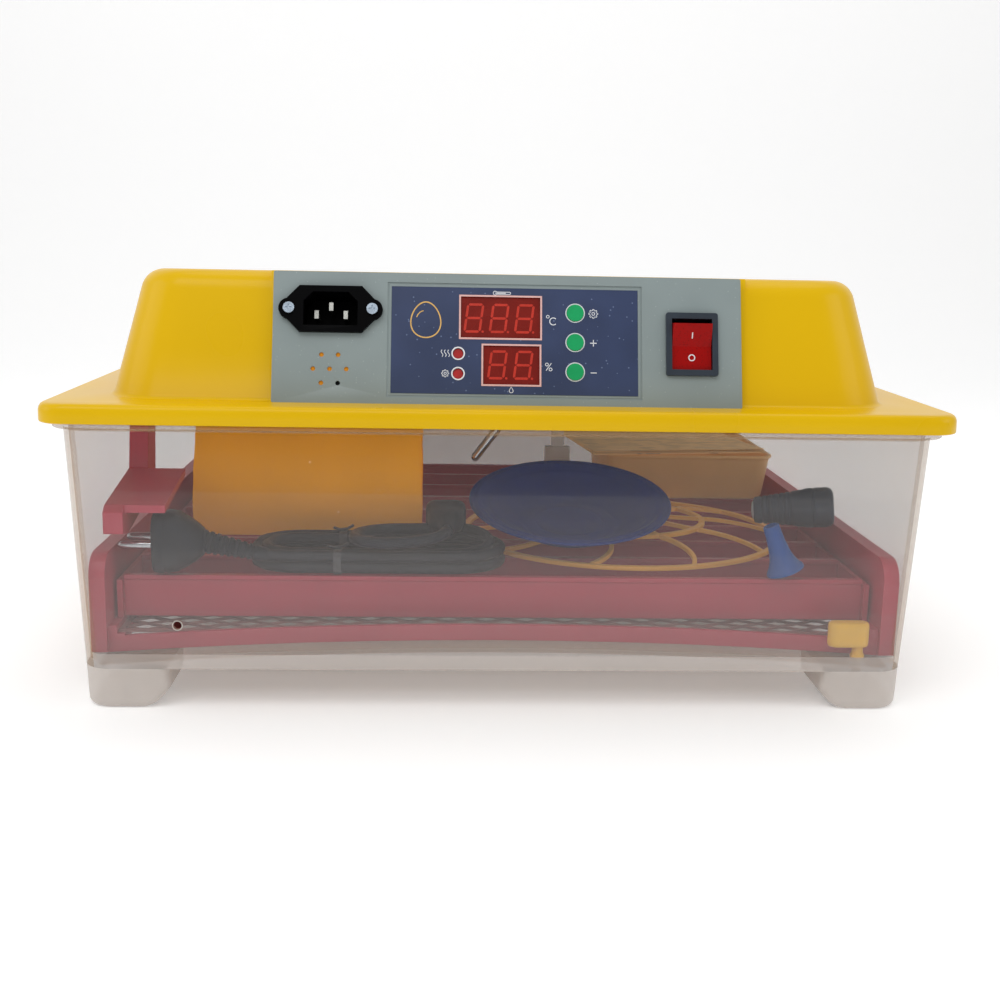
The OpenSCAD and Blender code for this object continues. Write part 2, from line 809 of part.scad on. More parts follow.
module fan_guard() {
    guard_t = 2.4;
    color("silver") translate([0, fan_y, fan_low - guard_t]) linear_extrude(guard_t) {
        for (r = [12, 21, 30, 38]) flat_ring(r, 1.8);
        for (a = [45 : 90 : 315]) rotate(a) translate([10.8, -1]) square([39, 2]);
        for (x = [-35.75, 35.75], y = [-35.75, 35.75]) translate([x, y]) circle(3.5);
    }
}

module heater_coil() {
    color("darkgray") translate([0, fan_y, heater_z]) rotate_extrude() translate([heater_r, 0])
        circle(heater_wire_r, $fn = 24);
}

module heater_posts() {
    color("white") for (a = [45 : 90 : 315]) translate([0, fan_y, 0]) rotate(a)
        translate([heater_r, 0, heater_z + heater_wire_r])
            cylinder(h = cover_low - heater_z - heater_wire_r, r = 3.4);
}

module temp_probe() {
    color("silver") translate([-9, -60, 102]) rotate([0, 36.4, 0]) {
        cylinder(h = 44, r = 2.6);
        sphere(2.6);
        translate([0, 0, 43]) cylinder(h = 8, r = 3.2);
    }
    color([0.1, 0.1, 0.1]) translate([22.6, -60, 141]) cylinder(h = cover_low - 141, r = 2.2);
}

module humidity_sensor() {
    color("white") translate([36, -30, 92]) {
        cube([15.5, 5.8, 12]);
        translate([4, 1.4, 12]) cube([7.6, 3, cover_low - 104]);
    }
}

// ---------- accessories stowed on the egg rack ----------

module chick_dish() {
    base_r = 25;
    depth = 16.5;
    color("navy") translate([43, -121, 89]) rotate([dish_tilt, 0, 0]) rotate_extrude() difference() {
        polygon([[0, -depth], [base_r, -depth], [dish_r - 3, -2.2], [dish_r, -1.8], [dish_r, 0],
            [dish_r - 5, 0], [dish_r - 6, -1], [0, -1]]);
        polygon([[0, 2.3 - depth], [base_r - 1, 2.3 - depth], [dish_r - 6, -0.9], [dish_r - 6, 1], [0, 1]]);
    }
}

// A guard of three rings joined by curved spokes; it rises towards its middle
module spoked_ring() {
    inner_r = 50;
    inner_rise = 7;
    hub_rise = 10;
    ring_t = 2.2;
    rim_w = 3.4;
    spokes = 10;
    color("orange") translate([78, -80, 61]) intersection() {
        linear_extrude(hub_rise + 2 * ring_t) {
            for (r = [ring_r, inner_r, 9]) flat_ring(r, rim_w);
            for (k = [0 : spokes - 1]) rotate(k * 360 / spokes) {
                translate([7, -1.2]) square([inner_r - 9, 2.4]);
                curved_spoke(inner_r - 2, ring_r - 2);
            }
        }
        rotate_extrude() polygon([[0, hub_rise], [inner_r, inner_rise], [ring_r - rim_w, 0],
            [ring_r + 1, 0],
            [ring_r + 1, ring_t], [ring_r - rim_w, ring_t], [inner_r, inner_rise + ring_t],
            [0, hub_rise + ring_t]]);
    }
}

// Part of a thin ring between two radii, which bows sideways
module curved_spoke(r_in, r_out) {
    bow = 34;
    intersection() {
        translate([(r_in + r_out) / 2, -bow * 0.75]) flat_ring(bow, 2.4);
        translate([r_in, 0]) square([r_out - r_in, bow]);
    }
}

module rolled_mat() {
    color("orange") translate([-165, -107, 99]) rotate([0, 90, 0]) difference() {
        cylinder(h = mat_l, r = mat_r);
        translate([0, 0, -1]) cylinder(h = mat_l + 2, r = 22);
    }
}

// A small torch that widens towards its lamp end
module candler_body() {
    neck_l = 30;
    head_l = 12;
    color([0.1, 0.1, 0.1]) translate([152, -106, 80.5]) rotate([0, 84, -14.8]) {
        cylinder(h = neck_l, r1 = 7.5, r2 = 11);
        translate([0, 0, neck_l]) cylinder(h = head_l, r = 11.5);
        translate([0, 0, neck_l + head_l]) cylinder(h = 3, r1 = 10.6, r2 = 9.4);
    }
}

module candler_cup() {
    cup_tilt = 21;
    color("dodgerblue") translate([150.5, -186, 64.7]) rotate([0, -cup_tilt, 0]) rotate_extrude()
        difference() {
            polygon([[0, 0], [10, 0], [8.4, 3], [5, 11], [4.2, 26], [0, 26]]);
            polygon([[0, -1], [8.6, -1], [7, 3], [3.6, 11], [2.8, 24], [0, 24]]);
        }
}

// A tray whose four sides slope outwards to its rim
module accessory_tray() {
    half_w = 55;
    half_d = 65;
    tray_h = 30;
    slope_in = 4;
    wall = 2;
    color("moccasin") translate([135, 65, 64.5]) difference() {
        sloped_block(half_w, half_d, tray_h, slope_in, 10);
        translate([0, 0, wall]) sloped_block(half_w - wall, half_d - wall, tray_h, slope_in, 8);
    }
}

module sloped_block(half_w, half_d, h, slope_in, r) {
    hull() {
        linear_extrude(0.1) rounded_rect(half_w - slope_in, half_d - slope_in, r);
        translate([0, 0, h - 0.1]) linear_extrude(0.1) rounded_rect(half_w, half_d, r);
    }
}

module booklet() {
    color("ivory") translate([70, -8, 95.2]) rotate([0, 0, 8]) cube([118, 128, 1.6]);
}

module spare_rail() {
    color("crimson") translate([-197, 0, 0]) rotate([90, 0, 90]) {
        linear_extrude(10) polygon([[-202, 85], [-192, 83], [-125, 95], [-119, 138], [-137, 138],
            [-143, 108], [-198, 99], [-202, 96]]);
        // the web that stands out sideways from the rail
        linear_extrude(30) polygon([[-198, 95], [-143, 104], [-143, 108], [-198, 99]]);
    }
}

module racetrack(half_l, r) {
    square([2 * half_l, 2 * r], center = true);
    for (s = [-1, 1]) translate([s * half_l, 0]) circle(r);
}

module lead_hank() {
    r = hank_bend_r + 1.5 * lead_d;
    color([0.08, 0.08, 0.08]) translate([hank_c[0], hank_c[1], hank_low]) linear_extrude(2 * lead_d)
        difference() {
            racetrack(hank_run / 2, r);
            racetrack(hank_run / 2, r - 2 * lead_d);
        }
}

module lead_plug() {
    relief_l = 34;
    color([0.08, 0.08, 0.08]) translate([plug_c[0], plug_c[1], plug_c[2]]) {
        rotate([90, 0, 90]) linear_extrude(24) rounded_rect(12.5, 16, 6);
        translate([23.5, 0, 0]) rotate([0, 90 + 12, 0]) cylinder(h = relief_l, r1 = 6.5, r2 = 3.6);
    }
    color("silver") for (s = [-1, 1]) translate([plug_c[0] - 17, plug_c[1] + s * 9.5, plug_c[2]])
        rotate([0, 90, 0]) cylinder(h = 18, r = 2);
}

module lead_connector() {
    color([0.08, 0.08, 0.08]) translate([-38, -160, hank_low + 2 * lead_d]) cube([22, 30, 17]);
}

// ---------- assembly ----------

base_shell();
tray_frame();
mesh_floor();
turner_motor();
motor_screws();
chick_dish();
spoked_ring();
rolled_mat();
candler_body();
candler_cup();
accessory_tray();
booklet();
spare_rail();
lead_hank();
lead_plug();
lead_connector();
drain_plug();
divider(1);  // divider_1
divider(2);  // divider_2
divider(3);  // divider_3
divider(4);  // divider_4
divider(5);  // divider_5
divider(6);  // divider_6
divider(7);  // divider_7
divider(8);  // divider_8
divider(9);  // divider_9
slide_bar(-1);  // slide_bar_left
slide_bar(1);  // slide_bar_right
yoke_plate();
motor_shaft();
crank_arm();
lid_shell();
control_panel();
display_overlay();
power_inlet();
inlet_pins();
inlet_screws();
switch_frame();
switch_terminals();
temp_display();
humidity_display();
indicator_leds();
control_board();
buzzer();
power_board();
inner_cover();
cover_screws();
fan_frame();
fan_guard();
heater_coil();
heater_posts();
temp_probe();
humidity_sensor();
switch_rocker();
push_button(0);  // set_button
push_button(1);  // plus_button
push_button(2);  // minus_button
fan_rotor();
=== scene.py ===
"""Looks of the egg incubator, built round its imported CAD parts. Lengths are in millimetres until a mesh is made."""
import random
from math import atan2, copysign, cos, dist, pi, radians, sin, sqrt, tan

import bmesh
import bpy
from mathutils import Matrix, Vector


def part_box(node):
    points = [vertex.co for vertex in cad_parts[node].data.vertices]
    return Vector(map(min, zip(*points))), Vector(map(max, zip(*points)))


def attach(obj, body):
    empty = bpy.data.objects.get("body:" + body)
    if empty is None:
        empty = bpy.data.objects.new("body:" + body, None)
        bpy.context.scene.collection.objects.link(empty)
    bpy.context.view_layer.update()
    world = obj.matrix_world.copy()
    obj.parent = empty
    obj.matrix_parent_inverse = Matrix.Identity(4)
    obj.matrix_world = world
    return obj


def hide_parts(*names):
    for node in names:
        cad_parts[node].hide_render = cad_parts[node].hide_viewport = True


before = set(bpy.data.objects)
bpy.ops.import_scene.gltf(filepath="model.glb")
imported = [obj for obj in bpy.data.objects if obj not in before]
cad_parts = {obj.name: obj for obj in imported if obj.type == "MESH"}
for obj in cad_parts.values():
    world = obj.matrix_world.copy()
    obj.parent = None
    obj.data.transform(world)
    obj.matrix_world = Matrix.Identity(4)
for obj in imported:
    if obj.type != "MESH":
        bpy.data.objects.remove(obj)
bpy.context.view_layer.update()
random.seed(7)

MM = 0.001


def cad_box(node):
    """Lowest and highest corner of a CAD node, in millimetres."""
    low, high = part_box(node)
    return low / MM, high / MM


# ---------- driving places, from the frame ----------

LID_LOW, LID_HIGH = cad_box("lid_shell")
FLANGE_HALF_W = LID_HIGH.x
FLANGE_HALF_D = LID_HIGH.y
FLANGE_LOW = LID_LOW.z
DOME_TOP = LID_HIGH.z
FLANGE_TOP = FLANGE_LOW + 9.4
LID_WALL = 2.5
LEAN = radians(17.5)
SIDE_LEAN = radians(13)
TOP_FALL = radians(1.6)
PANEL_LOW = cad_box("control_panel")[0]
PANEL_T = 4.0
LABEL_AT = (57.0, 5.4)
LABEL_SIZE = (120.0, 52.5)
LABEL_FACE = -0.2
TUB_HIGH = cad_box("base_shell")[1]

# ---------- camera: it stands where the machine is seen a little from the left and from above ----------

EYE = Vector((-32.9, -837.4, 233.1)) * MM
YAW, PITCH, ROLL = -0.0507, 0.1997, 0.0203
LENS = 46.8

right = Vector((cos(YAW), sin(YAW), 0))
ahead = Vector((-sin(YAW), cos(YAW), 0))
forward = cos(PITCH) * ahead - sin(PITCH) * Vector((0, 0, 1))
up = sin(PITCH) * ahead + cos(PITCH) * Vector((0, 0, 1))
cam_right = cos(ROLL) * right + sin(ROLL) * up
cam_up = -sin(ROLL) * right + cos(ROLL) * up
cam_data = bpy.data.cameras.new("camera")
cam_data.lens = LENS
cam_data.sensor_width = 36
camera = bpy.data.objects.new("camera", cam_data)
bpy.context.scene.collection.objects.link(camera)
camera.matrix_world = Matrix.Translation(EYE) @ Matrix((cam_right, cam_up, -forward)).transposed().to_4x4()
bpy.context.scene.camera = camera

# ---------- mesh helpers ----------


def in_scene(name, data):
    """Makes an object of a mesh, a curve or a light and puts it in the scene."""
    thing = bpy.data.objects.new(name, data)
    bpy.context.scene.collection.objects.link(thing)
    return thing


def to_mesh(name, bm):
    mesh = bpy.data.meshes.new(name)
    bm.to_mesh(mesh)
    bm.free()
    return mesh


def clean(bm):
    bmesh.ops.remove_doubles(bm, verts=bm.verts, dist=1e-4)
    bmesh.ops.recalc_face_normals(bm, faces=bm.faces)


def at(place, degrees=0.0, axis="X"):
    """A matrix that turns about an axis and then moves to a place."""
    return Matrix.Translation(place) @ Matrix.Rotation(radians(degrees), 4, axis)


def finish_mesh(name, bm, body, slot, replaces=(), sharp=35, matrix=None, look=None):
    """Turns a bmesh in millimetres into a piece that rides on a body, with its slot's look or another."""
    if matrix is not None:
        bm.transform(matrix)
    clean(bm)
    limit = radians(sharp)
    for edge in bm.edges:
        edge.smooth = len(edge.link_faces) != 2 or edge.calc_face_angle(0) < limit
    for face in bm.faces:
        face.smooth = True
    bmesh.ops.scale(bm, vec=(MM, MM, MM), verts=bm.verts)
    mesh = to_mesh(name, bm)
    mesh.materials.append(look or looks[slot])
    piece = in_scene(name, mesh)
    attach(piece, body)
    if replaces:
        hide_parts(*replaces)
    return piece


def add_bevel(piece, width):
    soft = piece.modifiers.new("soft_edges", "BEVEL")
    soft.width = width * MM
    soft.segments = 2
    soft.limit_method = "ANGLE"
    soft.angle_limit = radians(38)
    soft.use_clamp_overlap = True
    soft.harden_normals = True


def apply_modifiers(piece):
    """Bakes a piece's modifiers into its mesh."""
    graph = bpy.context.evaluated_depsgraph_get()
    mesh = bpy.data.meshes.new_from_object(piece.evaluated_get(graph), depsgraph=graph)
    piece.modifiers.clear()
    piece.data = mesh


def rounded_ring(half_w, half_d, r, z, steps=8, centre=(0, 0), cuts=1):
    """Points of a rounded rectangle at height z, anticlockwise; cuts divides its front and its back."""
    points = []
    for corner in range(4):
        sx = 1 if corner in (0, 3) else -1
        sy = 1 if corner in (0, 1) else -1
        for k in range(steps + 1):
            a = pi / 2 * (corner + k / steps)
            points.append((centre[0] + sx * (half_w - r) + r * cos(a),
                           centre[1] + sy * (half_d - r) + r * sin(a), z))
        if corner in (0, 2):
            for k in range(1, cuts):
                points.append((centre[0] + sx * (half_w - r) * (1 - 2 * k / cuts), centre[1] + sy * half_d, z))
    return points


def loft(bm, rings, cap_first=False, cap_last=False, closed=True, join_ends=False):
    """Skins a row of rings that have the same number of points."""
    rows = [[bm.verts.new(p) for p in ring] for ring in rings]
    if join_ends:
        rows.append(rows[0])
    for low, high in zip(rows, rows[1:]):
        count = len(low)
        for k in range(count if closed else count - 1):
            j = (k + 1) % count
            bm.faces.new((low[k], low[j], high[j], high[k]))
    if cap_first:
        bm.faces.new(rows[0][::-1])
    if cap_last:
        bm.faces.new(rows[-1])
    return rows


def solid(rings):
    """A new mesh: rings skinned and closed at both ends."""
    bm = bmesh.new()
    loft(bm, rings, True, True)
    return bm


def prism(bm, outline, z0, z1):
    """An upright prism on a flat outline."""
    loft(bm, [[(x, y, z0) for x, y in outline], [(x, y, z1) for x, y in outline]], True, True)


def block(bm, low, high):
    x0, y0, z0 = low
    x1, y1, z1 = high
    prism(bm, [(x0, y0), (x1, y0), (x1, y1), (x0, y1)], z0, z1)


def circle_points(r, count=32, centre=(0, 0)):
    return [(centre[0] + r * cos(2 * pi * k / count),
             centre[1] + r * sin(2 * pi * k / count)) for k in range(count)]


def lathe(bm, profile, count=64, centre=(0, 0)):
    """Turns a closed profile of (radius, height) points about an upright axis; radius 0 makes a pole."""
    rows = []
    for r, z in profile:
        if r < 1e-6:
            rows.append([bm.verts.new((centre[0], centre[1], z))])
        else:
            rows.append([bm.verts.new((x, y, z)) for x, y in circle_points(r, count, centre)])
    for low, high in zip(rows, rows[1:]):
        for k in range(count):
            j = (k + 1) % count
            face = [low[k % len(low)], low[j % len(low)], high[j % len(high)], high[k % len(high)]]
            face = list(dict.fromkeys(face))
            if len(face) > 2:
                bm.faces.new(face)


def tube(bm, path, radius, sides=12):
    """A round tube along points."""
    points = [Vector(p) for p in path]
    rows = []
    normal = None
    for k, p in enumerate(points):
        ahead_p = points[min(k + 1, len(points) - 1)]
        behind_p = points[max(k - 1, 0)]
        along = (ahead_p - behind_p).normalized()
        if normal is None:
            normal = along.orthogonal().normalized()
        normal = (normal - along * normal.dot(along)).normalized()
        side = along.cross(normal)
        turns = [2 * pi * i / sides for i in range(sides)]
        rows.append([p + radius * (cos(a) * normal + sin(a) * side) for a in turns])
    loft(bm, rows, True, True)


def panel_matrix(u=0.0, v=0.0, w=0.0):
    """Places local x, y, z on the panel: along it, up its slope and out of it."""
    along = Vector((1, 0, 0))
    slope = Vector((0, sin(LEAN), cos(LEAN)))
    outward = Vector((0, -cos(LEAN), sin(LEAN)))
    origin = Vector((PANEL_LOW.x, PANEL_LOW.y, FLANGE_TOP)) + u * along + v * slope + w * outward
    turn = Matrix((along, slope, outward)).transposed().to_4x4()
    return Matrix.Translation(origin) @ turn


def label_matrix(x=0.0, y=0.0, w=LABEL_FACE):
    return panel_matrix(LABEL_AT[0] + x, LABEL_AT[1] + y, w)


# ---------- materials: each is one Principled shader with procedural colour, roughness and bump ----------


def srgb(r, g, b):
    """A display colour, 0 to 255, as linear light."""
    return tuple(((c / 255 + 0.055) / 1.055) ** 2.4 if c > 10 else c / 255 / 12.92 for c in (r, g, b))


def set_inputs(node, **values):
    """Sets a node's inputs; an underscore in a name stands for a space."""
    for name, value in values.items():
        node.inputs[name.replace("_", " ")].default_value = value


def add_node(mat, kind, **values):
    node = mat.node_tree.nodes.new("ShaderNode" + kind)
    set_inputs(node, **values)
    return node


def textured(mat, kind, **values):
    """A texture node that follows the object's own space."""
    node = add_node(mat, "Tex" + kind, **values)
    mat.node_tree.links.new(add_node(mat, "TexCoord").outputs["Object"], node.inputs["Vector"])
    return node


def two_tone(mat, value, start, first, end, second):
    """A colour ramp of two stops, driven by an output."""
    ramp = add_node(mat, "ValToRGB")
    for stop, position, colour in zip(ramp.color_ramp.elements, (start, end), (first, second)):
        stop.position = position
        stop.color = colour
    mat.node_tree.links.new(value, ramp.inputs["Fac"])
    return ramp.outputs["Color"]


def mixed(mat, factor, under, over):
    """One colour laid over another where the factor is high."""
    mix = add_node(mat, "Mix")
    mix.data_type = "RGBA"
    mat.node_tree.links.new(factor, mix.inputs["Factor"])
    mat.node_tree.links.new(under, mix.inputs["A"])
    mix.inputs["B"].default_value = over
    return mix.outputs["Result"]


def plastic(name, colour, shade=0.9, rough=(0.3, 0.4), blotch=60.0, grain=900.0, bump=0.05, coat=0.0,
            alpha=1.0, metal=0.0, specks=None, glow=0.0, shine=0.5):
    """Colour that wanders between itself and a darker shade, a fine grain in roughness and bump, and an optional
    emission that paints light on a part that is no lamp.
    """
    mat = bpy.data.materials.new(name)
    mat.use_nodes = True
    links = mat.node_tree.links
    shader = mat.node_tree.nodes["Principled BSDF"]
    set_inputs(shader, Metallic=metal, Coat_Weight=coat, Coat_Roughness=0.12, Alpha=alpha, Specular_IOR_Level=shine)
    light = srgb(*colour)
    wide = textured(mat, "Noise", Scale=blotch, Detail=1)
    top = two_tone(mat, wide.outputs["Fac"], 0.35, [c * shade for c in light] + [1], 0.65, [*light, 1])
    if specks:
        speck_colour, amount, size = specks
        dots = textured(mat, "Voronoi", Scale=size)
        where = two_tone(mat, dots.outputs["Distance"], amount, (1, 1, 1, 1), amount + 0.03, (0, 0, 0, 1))
        top = mixed(mat, where, top, [*srgb(*speck_colour), 1])
    links.new(top, shader.inputs["Base Color"])
    gloss = add_node(mat, "MapRange", To_Min=rough[0], To_Max=rough[1])
    links.new(wide.outputs["Fac"], gloss.inputs["Value"])
    links.new(gloss.outputs["Result"], shader.inputs["Roughness"])
    if bump:
        fine = textured(mat, "Noise", Scale=grain, Detail=3)
        relief = add_node(mat, "Bump", Strength=bump, Distance=0.00004)
        links.new(fine.outputs["Fac"], relief.inputs["Height"])
        links.new(relief.outputs["Normal"], shader.inputs["Normal"])
    # emission in the material's own colour: painted light that brightens a part the lamps leave dark
    if glow:
        set_inputs(shader, Emission_Color=[*light, 1], Emission_Strength=glow)
    return mat


def paper_print(mat):
    """Adds soft grey rows, like a page that is too far off to be read."""
    links = mat.node_tree.links
    base = mat.node_tree.nodes["Principled BSDF"].inputs["Base Color"]
    rows = textured(mat, "Wave", Scale=55, Distortion=1.2, Detail_Scale=6)
    rows.bands_direction = "Y"
    breaks = textured(mat, "Noise", Scale=90)
    both = add_node(mat, "Math")
    both.operation = "MULTIPLY"
    links.new(rows.outputs["Fac"], both.inputs[0])
    links.new(breaks.outputs["Fac"], both.inputs[1])
    ink = two_tone(mat, both.outputs["Value"], 0.42, (0, 0, 0, 1), 0.5, (0.7, 0.7, 0.7, 1))
    links.new(mixed(mat, ink, base.links[0].from_socket, (0.13, 0.14, 0.16, 1)), base)


looks = {}


def slot_look(name, *row, **more):
    looks[name] = plastic(name, *row, **more)


slot_look("yellow_lid", (222, 178, 0), 0.96, (0.24, 0.34), 14, 500, 0.0, coat=0.05, shine=0.14)
slot_look("frosted_tub", (180, 148, 110), 0.94, (0.3, 0.42), 18, 1400, 0.0, alpha=0.36, shine=0.3)
slot_look("red_frame", (192, 62, 82), 0.94, (0.34, 0.46), 40, 1100, 0.02)
slot_look("red_rack", (190, 62, 82), 0.94, (0.34, 0.46), 40, 1100, 0.02)
slot_look("grey_mesh", (158, 112, 108), 0.85, (0.45, 0.6), 120, 1500, 0.04, metal=0.15, shine=0.3)
slot_look("motor_case", (176, 178, 182), 0.9, (0.28, 0.4), 60, 900, 0.05, metal=0.9)
slot_look("screw_steel", (190, 205, 220), 0.85, (0.2, 0.35), 200, 1500, 0.05, metal=1.0)
slot_look("blue_dish", (0, 46, 134), 0.9, (0.4, 0.5), 50, 1000, 0.0, shine=0.12)
# the ring's emission is painted light
slot_look("orange_ring", (255, 186, 70), 0.92, (0.3, 0.4), 60, 1100, 0.0, glow=0.06)
# the mat's emission is painted light, lifting its lower part out of the shade
slot_look("orange_mat", (226, 150, 0), 0.93, (0.5, 0.6), 30, 700, 0.16,
          specks=((250, 206, 140), 0.03, 60), glow=0.2, shine=0.15)
slot_look("candler_black", (74, 84, 98), 0.8, (0.4, 0.5), 80, 1400, 0.0, shine=0.2)
slot_look("candler_blue", (34, 84, 160), 0.9, (0.36, 0.46), 80, 900, 0.05, shine=0.25)
# the tray's emission is painted light
slot_look("cream_tray", (240, 196, 136), 0.93, (0.34, 0.46), 40, 900, 0.0, glow=0.05)
# the booklet's emission is painted light
slot_look("paper", (240, 206, 156), 0.95, (0.7, 0.8), 60, 1200, 0.1, glow=0.1)
slot_look("lead_black", (30, 36, 46), 0.8, (0.38, 0.5), 90, 1300, 0.0, shine=0.2)
slot_look("ochre_plug", (255, 200, 66), 0.92, (0.3, 0.42), 90, 1000, 0.0, shine=0.3)
slot_look("shaft_steel", (196, 198, 202), 0.85, (0.18, 0.3), 150, 1500, 0.04, metal=1.0)
slot_look("white_plastic", (232, 232, 226), 0.94, (0.34, 0.46), 50, 1000, 0.05)
slot_look("grey_panel", (134, 146, 146), 0.94, (0.34, 0.46), 40, 1600, 0.1,
          specks=((170, 180, 180), 0.06, 420))
slot_look("navy_label", (38, 54, 92), 0.82, (0.24, 0.4), 45, 1300, 0.05, coat=0.2,
          specks=((96, 112, 146), 0.09, 300))
slot_look("inlet_black", (1, 1, 2), 0.75, (0.4, 0.5), 80, 1400, 0.0, shine=0.05)
slot_look("pin_brass", (206, 206, 200), 0.85, (0.2, 0.3), 150, 1500, 0.04, metal=1.0)
slot_look("switch_dark", (36, 46, 58), 0.85, (0.26, 0.36), 80, 1200, 0.06)
slot_look("display_red", (122, 20, 8), 0.86, (0.22, 0.32), 90, 1300, 0.03, coat=0.1, shine=0.2)
slot_look("lamp_red", (190, 26, 22), 0.8, (0.14, 0.24), 300, 1500, 0.04, coat=0.4)
slot_look("green_board", (22, 92, 52), 0.8, (0.34, 0.5), 120, 1400, 0.08,
          specks=((196, 190, 150), 0.12, 190))
slot_look("buzzer_black", (18, 18, 18), 0.8, (0.3, 0.4), 90, 1200, 0.06)
slot_look("fan_black", (22, 23, 25), 0.8, (0.32, 0.44), 70, 1200, 0.06)
slot_look("wire_steel", (196, 198, 200), 0.82, (0.2, 0.32), 160, 1500, 0.05, metal=1.0)
slot_look("heater_sheath", (120, 118, 116), 0.6, (0.34, 0.5), 90, 1200, 0.1, metal=0.9)
slot_look("ceramic", (236, 232, 222), 0.93, (0.5, 0.62), 90, 900, 0.1)
slot_look("probe_steel", (206, 206, 204), 0.85, (0.16, 0.26), 150, 1500, 0.03, metal=1.0)
slot_look("rocker_red", (154, 6, 4), 0.9, (0.26, 0.36), 60, 900, 0.0, shine=0.12,
          specks=((110, 8, 4), 0.2, 900))
slot_look("green_button", (16, 158, 92), 0.92, (0.34, 0.44), 120, 1200, 0.05, shine=0.25)
paper_print(looks["paper"])
print_white = plastic("print_white", (226, 228, 232), 0.94, (0.4, 0.5), 200, 1500, 0.0)
print_pink = plastic("print_pink", (222, 176, 170), 0.94, (0.4, 0.5), 200, 1500, 0.0)
print_cream = plastic("print_cream", (222, 176, 96), 0.9, (0.4, 0.5), 200, 1500, 0.0)
# the digits' emission is painted light
segment_red = plastic("segment_red", (186, 40, 18), 0.9, (0.2, 0.3), 200, 1500, 0.0, glow=0.06)
# the yellow housing behind the sound holes as painted shade, orange, with painted light from its emission
sound_backs_painted_shade = plastic("sound_backs_painted_shade", (236, 150, 40), 0.9, (0.5, 0.6), 200, 1500, 0.0, glow=0.1, shine=0.1)
# a dark matte maroon in place of the grey screen: painted shade for the inside of the vent
vent_painted_shade = plastic("vent_painted_shade", (70, 20, 18), 0.8, (0.6, 0.7), 300, 1500, 0.0, shine=0.1)
tie_grey = plastic("tie_grey", (60, 62, 66), 0.85, (0.3, 0.42), 100, 1200, 0.05)
flyleaf = plastic("flyleaf", (232, 206, 166), 0.95, (0.7, 0.8), 60, 1200, 0.1)
lens_clear = plastic("lens_clear", (206, 214, 220), 0.95, (0.06, 0.12), 60, 1200, 0.0, coat=0.5)
# copies of the one tub plastic: the front wall's veil thins towards the top in bands, painted shade under the lid;
# the back wall's inner face is darker and browner, painted shade; the skirt is paler, painted light; the feet and the
# outer faces are paler too
FRONT_BANDS = 14
frosted_front_shade_bands = [plastic("frosted_front_%d" % k, (178, 174, 172), 0.97, (0.3, 0.42), 18, 1400, 0.0,
                         alpha=round(0.19 - 0.0115 * k, 4), shine=0.2) for k in range(FRONT_BANDS)]
# painted shade on the back wall's inner face
frosted_back_painted_shade = plastic("frosted_back_painted_shade", (150, 98, 42), 0.92, (0.4, 0.5), 18, 1400, 0.0, alpha=0.72, shine=0.15)
frosted_rear = plastic("frosted_rear", (204, 194, 180), 0.96, (0.34, 0.46), 18, 1400, 0.0, alpha=0.34, shine=0.2)
frosted_feet = plastic("frosted_feet", (214, 205, 198), 0.96, (0.34, 0.46), 18, 1400, 0.0, alpha=0.74, shine=0.3)
# painted light on the skirt below the floor
frosted_skirt_painted_light = plastic("frosted_skirt_painted_light", (216, 208, 202), 0.96, (0.34, 0.46), 18, 1400, 0.0, alpha=0.36, shine=0.3)

# ---------- mains lead: wound into a hank of two layers, with its plug and its appliance connector ----------

LEAD_D = 6.0
HANK_C = (-63.0, -159.0)
HANK_HALF_RUN = 41.0
TURN_OUT, TURN_IN = 24.0, 18.0
LAYER_LOW, LAYER_TOP = 64.0, 70.0
CROSS_Z = 76.0
LEAD_EXIT = (-118.7, -183.0, 70.4)
CONNECTOR_X = -27.0
CONNECTOR_FRONT = -130.0
CONNECTOR_Z = 81.5
LOOP_C = (-51.0, -172.0)
ARC_STEPS = 14
RUN_STEPS = 6


def ease(t, start, end):
    """0 before start, 1 after end, and smooth in between."""
    t = min(max((t - start) / (end - start), 0), 1)
    return t * t * (3 - 2 * t)


def half_turn(side, turn_from, turn_to, z_from, z_to, when_r=(0, 1), when_z=(0, 1)):
    """Half a circle round one end of the hank, anticlockwise; side is +1 at the right end."""
    points = []
    for k in range(1, ARC_STEPS + 1):
        t = k / ARC_STEPS
        r = turn_from + (turn_to - turn_from) * ease(t, *when_r)
        z = z_from + (z_to - z_from) * ease(t, *when_z)
        a = pi * (t - 0.5) if side > 0 else pi * (t + 0.5)
        points.append((HANK_C[0] + side * HANK_HALF_RUN + r * cos(a), HANK_C[1] + r * sin(a), z))
    return points


def straight(start, end, steps=RUN_STEPS, rise=(0, 1)):
    """A run between two points that changes height smoothly."""
    points = []
    for k in range(1, steps + 1):
        t = k / steps
        z = start[2] + (end[2] - start[2]) * ease(t, *rise)
        points.append((start[0] + (end[0] - start[0]) * t, start[1] + (end[1] - start[1]) * t, z))
    return points


def hank_turn(r, r_next, z_front, z_back, z_next, when_r=(0, 1), when_z=(0, 1)):
    """Front run, right end, back run and left end of one turn of the hank."""
    right_x = HANK_C[0] + HANK_HALF_RUN
    left_x = HANK_C[0] - HANK_HALF_RUN
    points = straight((left_x, HANK_C[1] - r, z_front), (right_x, HANK_C[1] - r, z_front))
    points += half_turn(1, r, r, z_front, z_front)
    points += straight((right_x, HANK_C[1] + r, z_front), (left_x, HANK_C[1] + r, z_back))
    points += half_turn(-1, r, r_next, z_back, z_next, when_r, when_z)
    return points


